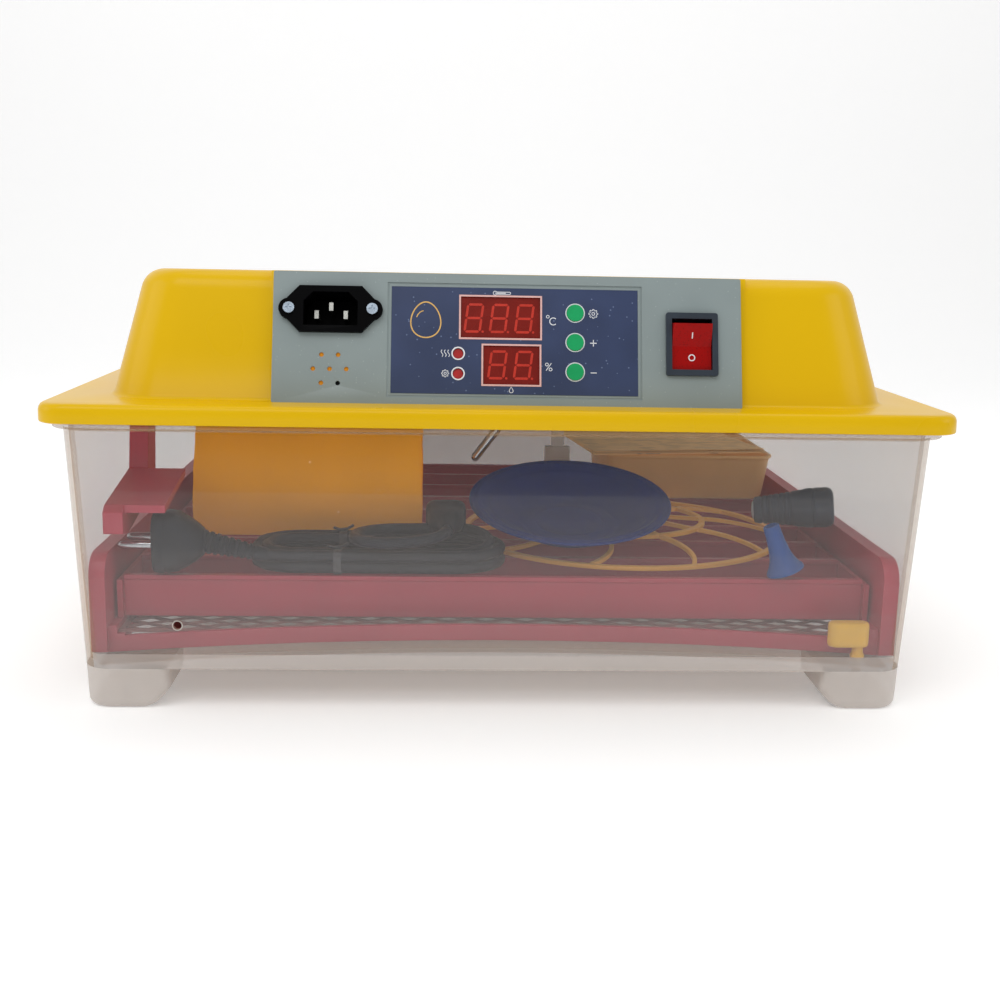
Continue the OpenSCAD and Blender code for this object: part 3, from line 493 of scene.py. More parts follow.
lead_route = [LEAD_EXIT]
lead_route += straight(LEAD_EXIT, (HANK_C[0] - HANK_HALF_RUN, HANK_C[1] - TURN_OUT, LAYER_TOP), 3)
lead_route += hank_turn(TURN_OUT, TURN_OUT, LAYER_TOP, LAYER_TOP, LAYER_LOW, when_z=(0.33, 0.66))
lead_route += hank_turn(TURN_OUT, TURN_IN, LAYER_LOW, LAYER_LOW, LAYER_LOW, when_r=(0, 0.33))
lead_route += hank_turn(TURN_IN, TURN_IN, LAYER_LOW, LAYER_TOP, LAYER_TOP)
right_end = HANK_C[0] + HANK_HALF_RUN
lead_route += straight(lead_route[-1], (right_end, HANK_C[1] - TURN_IN, LAYER_TOP))
lead_route += half_turn(1, TURN_IN, TURN_IN, LAYER_TOP, CROSS_Z)
loop_top = (LOOP_C[0], LOOP_C[1] + TURN_OUT)
last = lead_route[-1]
for k in range(1, 7):
    t = k / 6
    lead_route.append((last[0] + (loop_top[0] - last[0]) * t,
                       last[1] + (loop_top[1] - last[1]) * ease(t, 0, 1), CROSS_Z + 1.0 * ease(t, 0, 1)))
for k in range(1, 22):
    t = k / 21
    a = pi / 2 + t * 1.5 * pi
    lead_route.append((LOOP_C[0] + TURN_OUT * cos(a), LOOP_C[1] + TURN_OUT * sin(a),
                       CROSS_Z + 1.0 + (CONNECTOR_Z - CROSS_Z - 1.0) * ease(t, 0, 1)))


def curve_piece(name, points, radius, body, material):
    """A round cord along points in millimetres."""
    data = bpy.data.curves.new(name, "CURVE")
    data.dimensions = "3D"
    data.bevel_depth = radius * MM
    data.bevel_resolution = 4
    data.use_fill_caps = True
    line = data.splines.new("POLY")
    line.points.add(len(points) - 1)
    for spot, p in zip(line.points, points):
        spot.co = (p[0] * MM, p[1] * MM, p[2] * MM, 1)
    data.materials.append(material)
    piece = in_scene(name, data)
    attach(piece, body)
    return piece


def superellipse(half_a, half_b, power, count=40):
    """A rounded oblong outline; a higher power is squarer."""
    points = []
    for k in range(count):
        a = 2 * pi * k / count
        ca, sa = cos(a), sin(a)
        points.append((half_a * copysign(abs(ca) ** (2 / power), ca),
                       half_b * copysign(abs(sa) ** (2 / power), sa)))
    return points


def lofted_along(bm, stations, frame_matrix):
    """Skins oblong sections (distance, half_a, half_b, power) along a matrix's own z axis."""
    rings = []
    for z, half_a, half_b, power in stations:
        rings.append([frame_matrix @ Vector((x, y, z)) for x, y in superellipse(half_a, half_b, power)])
    loft(bm, rings, True, True)


def rounds(*stations):
    """Round sections for lofted_along, from pairs of distance and radius."""
    return [(z, r, r, 2) for z, r in stations]


def lofted(stations, matrix):
    bm = bmesh.new()
    lofted_along(bm, stations, matrix)
    return bm


def pointing(origin, along):
    """A matrix whose z axis points along a direction and whose y axis is as near to upright as it can be."""
    z = Vector(along).normalized()
    x = Vector((0, 0, 1)).cross(z).normalized()
    y = z.cross(x)
    return Matrix.Translation(Vector(origin)) @ Matrix((x, y, z)).transposed().to_4x4()


PLUG_C = Vector((-175.5, -183.0, 77.5))
lead = curve_piece("mains_lead", lead_route, LEAD_D / 2, "base", looks["lead_black"])
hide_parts("lead_hank")

plug_bm = lofted([(0, 11.6, 15.1, 3.2), (0.8, 12.3, 15.8, 3.2), (4.5, 12.5, 16, 3.2), (5.2, 12, 15.5, 3.2),
                  (6.2, 12, 15.5, 3.2), (7, 12.5, 16, 3.2), (12, 12, 15.2, 3), (17, 10.8, 12.6, 2.6),
                  (22, 8.6, 9.2, 2.3), (24.5, 7, 7.2, 2), (25.2, 5.8, 5.8, 2)], pointing(PLUG_C, (1, 0, 0)))
plug = finish_mesh("plug_body", plug_bm, "base", "lead_black", ["lead_plug"], sharp=50)
RELIEF_SLOPE = radians(12)
relief_way = Vector((cos(RELIEF_SLOPE), 0, -sin(RELIEF_SLOPE)))
relief_stations = rounds((0, 6.4))
for k in range(8):
    z = 2.0 + 3.4 * k
    r = 6.3 - 2.7 * (z + 1) / 34
    relief_stations += rounds((z, r), (z + 0.3, r - 0.7), (z + 1.5, r - 0.8), (z + 1.8, r - 0.1))
relief_stations += rounds((30, 3.9), (33.4, 3.6), (34.2, 3.2))
relief_bm = lofted(relief_stations, pointing(PLUG_C + Vector((23.5, 0, 0)), relief_way))
relief = finish_mesh("plug_strain_relief", relief_bm, "base", "lead_black", sharp=50)
pins_bm = bmesh.new()
for s in (-1, 1):
    lofted_along(pins_bm, rounds((0, 2), (14.6, 2), (16, 1.5), (16.8, 0.7)),
                 pointing(PLUG_C + Vector((0.2, s * 9.5, 0)), (-1, 0, 0)))
pins = finish_mesh("plug_pins", pins_bm, "base", "shaft_steel")

connector_stations = [(0, 9.6, 7.2, 4), (0.8, 10.6, 8.1, 4.5), (2, 11, 8.5, 4.5), (10, 11, 8.5, 4.5),
                      (11, 10.4, 8, 4), (16, 9.6, 7.4, 3.4), (22, 7.6, 6.6, 2.8), (25, 5.6, 5.6, 2)]
for k in range(6):
    connector_stations += rounds(*[(26 + 2.6 * k + d, 5.3 - 0.22 * k - dip)
                                   for d, dip in ((0, 0), (0.3, 0.6), (1.4, 0.6), (1.7, 0))])
connector_stations += rounds((42, 3.7))
connector_bm = lofted(connector_stations, pointing((CONNECTOR_X, CONNECTOR_FRONT, CONNECTOR_Z), (0, -1, 0)))
connector = finish_mesh("appliance_connector", connector_bm, "base", "lead_black",
                        ["lead_connector"], sharp=50)
slots_bm = bmesh.new()
for x, z in ((-6, -1.5), (6, -1.5), (0, 2.5)):
    block(slots_bm, (CONNECTOR_X + x - 1.2, CONNECTOR_FRONT - 0.3, CONNECTOR_Z + z - 2.2),
          (CONNECTOR_X + x + 1.2, CONNECTOR_FRONT + 0.1, CONNECTOR_Z + z + 2.2))
contacts = finish_mesh("connector_contacts", slots_bm, "base", "pin_brass")

TIE_T = 0.42
for name, y in (("front_tie", -1), ("back_tie", 1)):
    middle = HANK_C[1] + y * (TURN_OUT + TURN_IN) / 2
    half = LEAD_D
    tie_bm = bmesh.new()
    mid_z = (LAYER_LOW + LAYER_TOP) / 2
    rings = []
    for px in (HANK_C[0] - 22, HANK_C[0] - 18):
        for grow in (TIE_T, 0):
            ring = []
            for u, v in superellipse(half + grow, half + grow, 5, 48):
                ring.append((px, middle + u, mid_z + v))
            rings.append(ring)
    loft(tie_bm, [rings[0], rings[2], rings[3], rings[1]], join_ends=True)
    knot = (HANK_C[0] - 20, middle, mid_z + half + 1.2)
    tube(tie_bm, [(knot[0] - 5, knot[1] - 3, knot[2] + 1.4), (knot[0] - 2, knot[1] - 1, knot[2]),
                  (knot[0] + 2, knot[1] + 1, knot[2]), (knot[0] + 5, knot[1] + 4, knot[2] + 1.2)], 0.8, 8)
    finish_mesh("lead_" + name, tie_bm, "base", "lead_black", look=tie_grey, sharp=60)

# ---------- boolean helper for shells that are cut and joined ----------


def temporary(bm):
    clean(bm)
    return in_scene("temporary", to_mesh("temporary", bm))


JOIN, CUT = "UNION", "DIFFERENCE"


def combine(bm, steps):
    """Joins solids to a solid and cuts solids from it, all in millimetres; steps are (JOIN or CUT, bmesh)."""
    base = temporary(bm)
    tools = []
    for kind, tool_bm in steps:
        tool = temporary(tool_bm)
        tools.append(tool)
        cut = base.modifiers.new("cut", "BOOLEAN")
        cut.operation = kind
        cut.solver = "EXACT"
        cut.object = tool
    apply_modifiers(base)
    result = bmesh.new()
    result.from_mesh(base.data)
    for thing in [base, *tools]:
        bpy.data.objects.remove(thing, do_unlink=True)
    bmesh.ops.dissolve_degenerate(result, dist=1e-4, edges=result.edges)
    return result


def new_prism(outline, z0, z1, matrix=None):
    bm = bmesh.new()
    prism(bm, outline, z0, z1)
    if matrix is not None:
        bm.transform(matrix)
    return bm


def new_block(low, high, matrix=None):
    bm = bmesh.new()
    block(bm, low, high)
    if matrix is not None:
        bm.transform(matrix)
    return bm


# ---------- frosted tub ----------

FOOT_H = 20.0
FOOT_W = 46.0
FOOT_TRIM = 3.0
FOOT_R = 5.0
TUB_HALF_W, TUB_HALF_D = 207.0, 217.0
TUB_DRAFT = 5.0 / (FLANGE_LOW - FOOT_H)
TUB_CORNER = 14.0
TUB_WALL = 2.4
TUB_TOP = TUB_HIGH.z
RIM_LOW, RIM_HIGH = 141.0, 143.7
RIM_HALF_W, RIM_HALF_D = 216.0, 230.0
FLOOR_CROWN = 31.2
FLOOR_T = 2.2
SKIRT_TOP = 28.0
# heights where the front wall's bands of painted shade change
BAND_H = (RIM_LOW - 4 - SKIRT_TOP) / FRONT_BANDS
FRONT_CUTS = [SKIRT_TOP + BAND_H * k for k in range(FRONT_BANDS)]
FLOOR_R = (TUB_HALF_W ** 2 + 64) / 16
ACROSS_CUTS = 28


def arch(x, crown):
    """Height of a surface that is arched across the tub, at x."""
    return crown - FLOOR_R + sqrt(FLOOR_R ** 2 - x ** 2)


def tub_outline(half_w, half_d, r, z=None, crown=None):
    """A ring of the tub, level at z or arched to a crown."""
    ring = rounded_ring(half_w, half_d, r, z, cuts=ACROSS_CUTS)
    return [(x, y, arch(x, crown) if crown else z) for x, y, _ in ring]


def tub_ring(inset, z):
    grow = (z - FOOT_H) * TUB_DRAFT
    return tub_outline(TUB_HALF_W + grow - inset, TUB_HALF_D + grow - inset, TUB_CORNER - inset, z)


def close_across(bm, row):
    """Fills a ring of tub_outline with strips from front to back."""
    order = sorted(row, key=lambda v: (round(v.co.x, 4), v.co.y))
    columns = []
    for vert in order:
        if columns and abs(columns[-1][0].co.x - vert.co.x) < 1e-3:
            columns[-1].append(vert)
        else:
            columns.append([vert])
    for a, b in zip(columns, columns[1:]):
        quad = list(dict.fromkeys([a[0], b[0], b[-1], a[-1]]))
        sides = {v for v in a + b}
        if len(quad) > 2 and len(sides) >= len(quad):
            bm.faces.new(quad)


def tub_shell():
    bm = bmesh.new()
    grow_floor = (FLOOR_CROWN - 4 - FOOT_H) * TUB_DRAFT
    inner_w = TUB_HALF_W - TUB_WALL + grow_floor
    inner_d = TUB_HALF_D - TUB_WALL + grow_floor
    inner_r = TUB_CORNER - TUB_WALL
    rings = [tub_outline(inner_w, inner_d, inner_r, crown=FLOOR_CROWN - FLOOR_T),
             tub_ring(TUB_WALL, FOOT_H + 0.4), tub_ring(TUB_WALL - 0.4, FOOT_H), tub_ring(0.5, FOOT_H),
             tub_ring(0.12, FOOT_H + 0.15), tub_ring(0, FOOT_H + 0.6)]
    rings += [tub_ring(0, z) for z in [*FRONT_CUTS, RIM_LOW - 1.6, RIM_LOW - 0.8]]
    for out, z in ((0.6, RIM_LOW - 0.2), (1.6, RIM_LOW)):
        rings.append(tub_ring(-out, z))
    for inset, z in ((0.5, RIM_LOW), (0, RIM_LOW + 0.5), (0, RIM_HIGH - 0.6), (0.6, RIM_HIGH)):
        rings.append(tub_outline(RIM_HALF_W - inset, RIM_HALF_D - inset, TUB_CORNER + 5 - inset, z))
    rings += [tub_ring(-0.4, RIM_HIGH), tub_ring(0, RIM_HIGH + 0.4), tub_ring(0, TUB_TOP - 0.8),
              tub_ring(0.5, TUB_TOP), tub_ring(TUB_WALL - 0.5, TUB_TOP), tub_ring(TUB_WALL, TUB_TOP - 0.8)]
    rings += [tub_ring(TUB_WALL, z) for z in (110, 80, 50, 34)]
    rings.append(tub_outline(inner_w, inner_d, inner_r, crown=FLOOR_CROWN))
    rows = loft(bm, rings)
    close_across(bm, rows[0])
    close_across(bm, rows[-1])
    return bm


def foot_solid(sx, sy):
    """A foot with round upright corners and a slant at its inner lower edge."""
    out_w = TUB_HALF_W + 0.02
    out_d = TUB_HALF_D + 0.02
    rings = []
    for z, inner, inset in ((0, 9.5, 2.6), (0.8, 8.2, 1.6), (2.2, 6.2, 0.9), (4.6, 3.8, 0.7), (9, 0.4, 0.52),
                            (12, 0.1, 0.4), (FOOT_H + 1.6, 0, 0.05)):
        x_out, y_out = out_w - inset, out_d - inset
        x_in = TUB_HALF_W - FOOT_W + inner + FOOT_TRIM
        y_in = TUB_HALF_D - FOOT_W + inner + FOOT_TRIM
        ring = []
        for corner, (cx, cy) in enumerate(((1, 1), (-1, 1), (-1, -1), (1, -1))):
            r = TUB_CORNER - inset if (cx, cy) == (sx, sy) else FOOT_R
            x = sx * (x_out if cx == sx else x_in) - cx * r
            y = sy * (y_out if cy == sy else y_in) - cy * r
            for k in range(9):
                a = pi / 2 * (corner + k / 8)
                ring.append((x + r * cos(a), y + r * sin(a), z))
        rings.append(ring)
    return solid(rings)


def foot_hollow(sx, sy):
    """The space inside a foot, open underneath and divided by a cross of ribs."""
    bm = bmesh.new()
    x_mid = sx * (TUB_HALF_W - FOOT_W / 2 + 2.2)
    y_mid = sy * (TUB_HALF_D - FOOT_W / 2 + 2.2)
    half, rib = 15.6, 1.3
    for dx in (-1, 1):
        for dy in (-1, 1):
            cell = (half - rib) / 2
            centre = (x_mid + dx * (rib + cell), y_mid + dy * (rib + cell))
            rings = [rounded_ring(cell - 0.8, cell - 0.8, 2.2, -1, 4, centre),
                     rounded_ring(cell - 0.2, cell - 0.2, 2.6, 6, 4, centre),
                     rounded_ring(cell - 2, cell - 2, 1.6, 8, 4, centre)]
            loft(bm, rings, True, True)
    return bm


def pin(r, centre, z0, z1, count=32):
    return new_prism(circle_points(r, count, centre), z0, z1)


DRAIN = (184.0, -208.5)
CRANK = (110.0, 181.0)
MOTOR_X = 100.0
EAR_REACH = 30.0
VENT = (-158.7, 43.0)
VENT_FACE, VENT_SCREEN = -217.75, -215.4

CORNERS = [(sx, sy) for sx in (-1, 1) for sy in (-1, 1)]
EARS = [(MOTOR_X + s * EAR_REACH, CRANK[1]) for s in (-1, 1)]
steps = [(JOIN, foot_solid(*corner)) for corner in CORNERS]
steps += [(JOIN, pin(5, DRAIN, 20.6, 25.2)), (JOIN, pin(6.5, CRANK, 26.5, 30.6))]
steps += [(JOIN, pin(4.5, ear, 19.5, 28)) for ear in EARS]
steps += [(CUT, foot_hollow(*corner)) for corner in CORNERS]
steps += [(CUT, pin(2.25, DRAIN, 10, 40)), (CUT, pin(4, CRANK, 10, 40))]
steps += [(CUT, pin(1.55, ear, 18, 25.5, 24)) for ear in EARS]
steps.append((CUT, new_prism(circle_points(2.1, 32), 0, 20, at((VENT[0], -205, VENT[1]), 90))))
tub = finish_mesh("tub_shell", combine(tub_shell(), steps), "base", "frosted_tub", ["base_shell"], sharp=30)

# the first look is the slot's own; the others are lit and shaded copies of the same plastic and go by where a face is
# and which way it looks: painted shade on the upper front wall and on the back wall's inner face, painted light on
# the skirt
for tub_look in (frosted_feet, frosted_back_painted_shade, frosted_skirt_painted_light, *frosted_front_shade_bands, frosted_rear):
    tub.data.materials.append(tub_look)
FEET, BACK_INSIDE, SKIRT, FRONT = 1, 2, 3, 4
OUTSIDE = FRONT + FRONT_BANDS
END_ZONE, SIDE_ZONE, UPRIGHT = 205.0, 200.0, 0.8
WALL_TOP = RIM_LOW - 2
for face in tub.data.polygons:
    place = face.center / MM
    faces_end = abs(face.normal.y) > UPRIGHT
    if place.z < FOOT_H + 0.3:
        face.material_index = FEET
    elif place.z >= WALL_TOP:
        continue
    # front faces: the skirt paler, painted light, and above it bands whose veil thins upward, painted shade under the
    # lid
    elif place.y < -END_ZONE and faces_end:
        band_index = min(int((place.z - SKIRT_TOP) / BAND_H), FRONT_BANDS - 1)
        face.material_index = SKIRT if place.z < SKIRT_TOP else FRONT + band_index
    # the back wall's inner face takes the darker copy, painted shade
    elif place.y > END_ZONE and faces_end:
        face.material_index = BACK_INSIDE if face.normal.y < 0 else OUTSIDE
    elif abs(place.x) > SIDE_ZONE and face.normal.x * copysign(1, place.x) > UPRIGHT:
        face.material_index = OUTSIDE
bead_bm = bmesh.new()
lathe(bead_bm, [(2.12, 0), (2.12, 0.2), (2.3, 0.35), (2.6, 0.2), (2.65, 0), (2.12, 0)], 32)
finish_mesh("vent_collar", bead_bm, "base", "frosted_tub", look=frosted_feet,
            matrix=at((VENT[0], VENT_FACE, VENT[1]), 90))

# the screen is a disc of painted shade, not the grey mesh of its slot
screen_bm = bmesh.new()
prism(screen_bm, circle_points(2.05, 32), 0, 0.3)
finish_mesh("vent_screen", screen_bm, "base", "grey_mesh", look=vent_painted_shade,
            matrix=at((VENT[0], VENT_SCREEN, VENT[1]), 90))

# ---------- yellow lid ----------

DOME_HALF_W, DOME_HALF_D = 193.5, 209.5
DOME_CORNER, DOME_EDGE = 30.0, 12.0
DOME_RING = 16.0
FOOT_FILLET = 2.5
FLANGE_CORNER = 14.0
HOUSING_X = (-113.5, 119.5)
HOUSING_FRONT = PANEL_LOW.y + PANEL_T / cos(LEAN)
HOUSING_BACK = -165.0
TOP_FRONT = HOUSING_FRONT + (DOME_TOP - FLANGE_TOP) * tan(LEAN)


def top_drop(y):
    """How far the dome's top has fallen at y."""
    return max(y - TOP_FRONT, 0) * tan(TOP_FALL)


def dome_rings(inset, bottom, high, fillet):
    """Rings of the dome from its foot to its top, which falls towards the back."""
    rings = []
    edge = DOME_EDGE - inset

    def settle(ring):
        share = (ring[0][2] - FLANGE_TOP) / (high - FLANGE_TOP)
        return [(x, y, z - max(share, 0) * top_drop(y)) for x, y, z in ring]

    def side_ring(z, out=0.0):
        rise = z - FLANGE_TOP
        r = DOME_CORNER - inset - 0.045 * max(rise, 0) + out
        return settle(rounded_ring(DOME_HALF_W - inset - rise * tan(SIDE_LEAN) + out,
                                   DOME_HALF_D - inset - rise * tan(LEAN) + out, r, z, 10))

    rings.append(side_ring(bottom, fillet))
    if fillet:
        for k in range(5):
            a = (pi / 2 - LEAN) * k / 4
            rings.append(side_ring(FLANGE_TOP + fillet * (1 - cos(a)), fillet * (1 - sin(a))))
    centre_z = high - edge
    rise = centre_z - FLANGE_TOP
    rings.append(side_ring(FLANGE_TOP + rise * 0.5))
    centre_w = DOME_HALF_W - inset - rise * tan(SIDE_LEAN) - edge / cos(SIDE_LEAN)
    centre_d = DOME_HALF_D - inset - rise * tan(LEAN) - edge / cos(LEAN)
    for k in range(9):
        a = SIDE_LEAN + (pi / 2 - SIDE_LEAN) * k / 8
        reach = edge * cos(a)
        rings.append(settle(rounded_ring(centre_w + reach, centre_d + reach, DOME_RING + reach,
                                         centre_z + edge * sin(a), 10)))
    return rings


def dome_solid(inset, bottom, high, fillet=0.0):
    return solid(dome_rings(inset, bottom, high, fillet))


def flange_solid():
    rings = []
    for inset, z in ((1.0, FLANGE_LOW), (0.3, FLANGE_LOW + 0.3), (0, FLANGE_LOW + 1.0), (0.1, FLANGE_TOP - 3.4),
                     (0.45, FLANGE_TOP - 2.0), (1.1, FLANGE_TOP - 0.95), (2.1, FLANGE_TOP - 0.28), (3.5, FLANGE_TOP)):
        rings.append(rounded_ring(FLANGE_HALF_W - inset, FLANGE_HALF_D - inset, FLANGE_CORNER - inset * 0.6, z, 10))
    return solid(rings)


def housing_solid(inset, low):
    """The straight block behind the panel: a side profile drawn along X, with soft edges."""
    rise = DOME_TOP - inset - FLANGE_TOP
    lean_in = rise * tan(LEAN)
    front = HOUSING_FRONT + inset
    outline = [(front, low), (front, FLANGE_TOP)]
    outline += [(front + lean_in * k / 3, FLANGE_TOP + (rise - 0.5) * k / 3) for k in (1, 2)]
    outline += [(front + lean_in - 0.2, FLANGE_TOP + rise - 0.9), (front + lean_in + 0.7, FLANGE_TOP + rise)]
    outline += [(HOUSING_BACK, FLANGE_TOP + rise - top_drop(HOUSING_BACK)), (HOUSING_BACK, low)]
    return solid([[(x, y, z) for y, z in outline] for x in (HOUSING_X[0] + inset, HOUSING_X[1] - inset)])


def panel_block(x0, y0, z0, x1, y1, z1):
    return new_block((x0, y0, z0), (x1, y1, z1), panel_matrix())


INLET_C = (27.8, 45.6)
SWITCH_C = (203.4, 31.2)
BUZZER_C = (34.0, 7.5)
SCREW_SITES = [(-145, -150), (145, -150), (-145, 165), (145, 165)]
lid_steps = [
    (JOIN, flange_solid()),
    (JOIN, housing_solid(0, FLANGE_TOP - 1)),
    (CUT, new_prism([p[:2] for p in rounded_ring(FLANGE_HALF_W - LID_WALL, FLANGE_HALF_D - LID_WALL,
                                                 FLANGE_CORNER - LID_WALL, 0)],
                    FLANGE_LOW - 1, FLANGE_TOP - LID_WALL)),
    (CUT, dome_solid(LID_WALL, FLANGE_TOP - LID_WALL - 1, DOME_TOP - LID_WALL)),
    (CUT, housing_solid(LID_WALL, FLANGE_TOP - 5)),
    (CUT, panel_block(INLET_C[0] - 14.2, INLET_C[1] - 10.2, -30, INLET_C[0] + 14.2, INLET_C[1] + 10.2, 10)),
    (CUT, panel_block(LABEL_AT[0] + 2, LABEL_AT[1] + 1.5, -30, LABEL_AT[0] + LABEL_SIZE[0] - 2,
                      LABEL_AT[1] + LABEL_SIZE[1] - 3.5, 0)),
    (CUT, panel_block(SWITCH_C[0] - 11.2, SWITCH_C[1] - 14.5, -32, SWITCH_C[0] + 11.2, SWITCH_C[1] + 14.5, 10)),
    (CUT, new_prism(circle_points(5.8, 32, BUZZER_C), -20, 0, panel_matrix())),
]
lid_bm = combine(dome_solid(0, FLANGE_TOP - 1.5, DOME_TOP, FOOT_FILLET), lid_steps)
for x, y in SCREW_SITES:
    post_top = DOME_TOP - top_drop(y) - 1.5
    lathe(lid_bm, [(1.55, 150.7), (4, 150.7), (4, post_top), (1.55, post_top), (1.55, 150.7)], 32, (x, y))
finish_mesh("lid_dome", lid_bm, "lid", "yellow_lid", ["lid_shell"], sharp=32)

# ---------- printed label: borders, rings, signs and segments ----------

PRINT_LOW, PRINT_HIGH = LABEL_FACE, LABEL_FACE + 0.07
DISPLAY_FACE = -0.9
TEMP_BOX = (33.2, 27.4, 72.6, 48.4)
HUMIDITY_BOX = (44.2, 4.5, 72.3, 24.3)
LED_X, LED_YS = 32.4, (19.8, 9.9)
BUTTON_X, BUTTON_YS = 89.3, (40.7, 26.1, 11.5)


def band(bm, points, width, w0, w1, loop=False):
    """A flat line of even width along points."""
    count = len(points)
    rings = []
    for k, (x, y) in enumerate(points):
        a = points[k - 1] if loop or k else points[k]
        b = points[(k + 1) % count] if loop or k < count - 1 else points[k]
        size = dist(a, b)
        nx, ny = (a[1] - b[1]) / size * width / 2, (b[0] - a[0]) / size * width / 2
        rings.append([(x + nx, y + ny, w0), (x - nx, y - ny, w0), (x - nx, y - ny, w1), (x + nx, y + ny, w1)])
    loft(bm, rings, not loop, not loop, join_ends=loop)


def border(bm, x0, y0, x1, y1, width, w0, w1):
    """A flat rectangular frame whose inner edge is the given box."""
    def corners(out, w):
        return [(x0 - out, y0 - out, w), (x1 + out, y0 - out, w), (x1 + out, y1 + out, w), (x0 - out, y1 + out, w)]
    loft(bm, [corners(0, w0), corners(width, w0), corners(width, w1), corners(0, w1)], join_ends=True)


def arc_points(x, y, r, start, end, count=14):
    return [(x + r * cos(radians(start + (end - start) * k / count)),
             y + r * sin(radians(start + (end - start) * k / count))) for k in range(count + 1)]


def full_ring(bm, x, y, r, width, w0, w1, count=40):
    band(bm, circle_points(r, count, (x, y)), width, w0, w1, loop=True)


def segment(bm, p, q, thick, lean, origin, w0, w1):
    """One bar of a digit with pointed ends; lean slants it like the whole digit."""
    (px, py), (qx, qy) = p, q
    size = dist(p, q)
    dx, dy = (qx - px) / size, (qy - py) / size
    nx, ny = -dy * thick / 2, dx * thick / 2
    gap, tip = 0.22, 0.22 + thick / 2
    outline = [(px + dx * gap, py + dy * gap), (px + dx * tip - nx, py + dy * tip - ny),
               (qx - dx * tip - nx, qy - dy * tip - ny), (qx - dx * gap, qy - dy * gap),
               (qx - dx * tip + nx, qy - dy * tip + ny), (px + dx * tip + nx, py + dy * tip + ny)]
    prism(bm, [(origin[0] + x + lean * y, origin[1] + y) for x, y in outline], w0, w1)


def digit(bm, x, y, width, height):
    mid = height / 2
    low_left, low_right, mid_left, mid_right = (0, 0), (width, 0), (0, mid), (width, mid)
    top_left, top_right = (0, height), (width, height)
    for p, q in ((low_left, low_right), (mid_left, mid_right), (top_left, top_right), (low_left, mid_left),
                 (low_right, mid_right), (mid_left, top_left), (mid_right, top_right)):
        segment(bm, p, q, 1.2, 0.13, (x, y), DISPLAY_FACE - 0.05, DISPLAY_FACE + 0.1)
    prism(bm, circle_points(0.6, 16, (x + width + 1.5, y)), DISPLAY_FACE - 0.05, DISPLAY_FACE + 0.1)


def on_label(name, bm, look, slot="navy_label"):
    finish_mesh(name, bm, "lid", slot, matrix=label_matrix(w=0), look=look)


digits_bm = bmesh.new()
for x in (34.8, 47.1, 59.4):
    digit(digits_bm, x + 0.6, 30.9, 7.3, 13.4)
on_label("temp_segments", digits_bm, segment_red, "display_red")
digits_bm = bmesh.new()
for x in (46.4, 58.9):
    digit(digits_bm, x + 0.6, 8.0, 7.3, 13.2)
on_label("humidity_segments", digits_bm, segment_red, "display_red")

frames_bm = bmesh.new()
for x0, y0, x1, y1 in (TEMP_BOX, HUMIDITY_BOX):
    border(frames_bm, x0 + 0.35, y0 + 0.35, x1 - 0.35, y1 - 0.35, 0.85, PRINT_LOW, PRINT_HIGH + 0.08)
on_label("display_borders", frames_bm, print_pink)

rings_bm = bmesh.new()
for y in LED_YS:
    full_ring(rings_bm, LED_X, y, 2.98, 0.62, PRINT_LOW, PRINT_HIGH + 0.2)
on_label("lamp_rings", rings_bm, print_white)
rings_bm = bmesh.new()
for y in BUTTON_YS:
    full_ring(rings_bm, BUTTON_X, y, 4.52, 0.5, PRINT_LOW, PRINT_HIGH)
on_label("button_rings", rings_bm, print_white)

signs_bm = bmesh.new()
LINE = 0.42


def sign_line(points, width=LINE, loop=False):
    band(signs_bm, points, width, PRINT_LOW, PRINT_HIGH, loop)


# degree and C
sign_line(circle_points(0.7, 16, (75.9, 38.7)), 0.32, True)
sign_line(arc_points(78.6, 36.4, 1.75, 45, 315, 18))
# percent
sign_line(circle_points(0.72, 16, (75.5, 15.0)), 0.34, True)
sign_line(circle_points(0.72, 16, (77.3, 12.6)), 0.34, True)
sign_line([(75.1, 12.0), (77.7, 15.7)], 0.34)
# plus and minus
sign_line([(96.6, 25.9), (99.8, 25.9)])
sign_line([(98.2, 24.3), (98.2, 27.5)])
sign_line([(96.8, 11.2), (99.8, 11.2)])


def gear(x, y, r):
    """A small toothed wheel."""
    outline = []
    for k in range(8):
        for a, out in ((-13, 1), (-8, 1.32), (8, 1.32), (13, 1)):
            turn = radians(45 * k + a)
            outline.append((x + r * out * cos(turn), y + r * out * sin(turn)))
    sign_line(outline, 0.3, True)
    sign_line(circle_points(r * 0.42, 14, (x, y)), 0.3, True)


gear(98.2, 40.5, 1.7)
gear(26.2, 9.9, 1.35)
# heat waves beside the upper lamp
for dx in (-1.6, 0, 1.6):
    sign_line([(26.2 + dx + 0.45 * sin(k * pi / 5), 18.1 + 0.34 * k) for k in range(11)], 0.32)
# thermometer above the upper display
sign_line(arc_points(50.2, 50.0, 0.95, 35, 325, 14) + [(57.2, 49.45)] + arc_points(57.2, 50.0, 0.55, -60, 60, 6)
          + [(57.2, 50.55)], 0.3, True)
sign_line([(50.2, 50.0), (55.4, 50.0)], 0.4)
# drop of water below the lower display
sign_line(arc_points(58.2, 1.75, 0.95, 150, 390, 14) + [(58.2, 3.75)], 0.32, True)
on_label("label_signs", signs_bm, print_white)

signs_bm = bmesh.new()
egg = []
for k in range(40):
    a = 2 * pi * k / 40
    egg.append((16.6 + (7.2 - 1.1 * sin(a)) * cos(a), 36.2 + 8.8 * sin(a)))
sign_line(egg, 0.6, True)
sign_line(arc_points(16.6, 36.2, 4.6, 105, 165, 8), 0.45)
on_label("label_egg", signs_bm, print_cream)

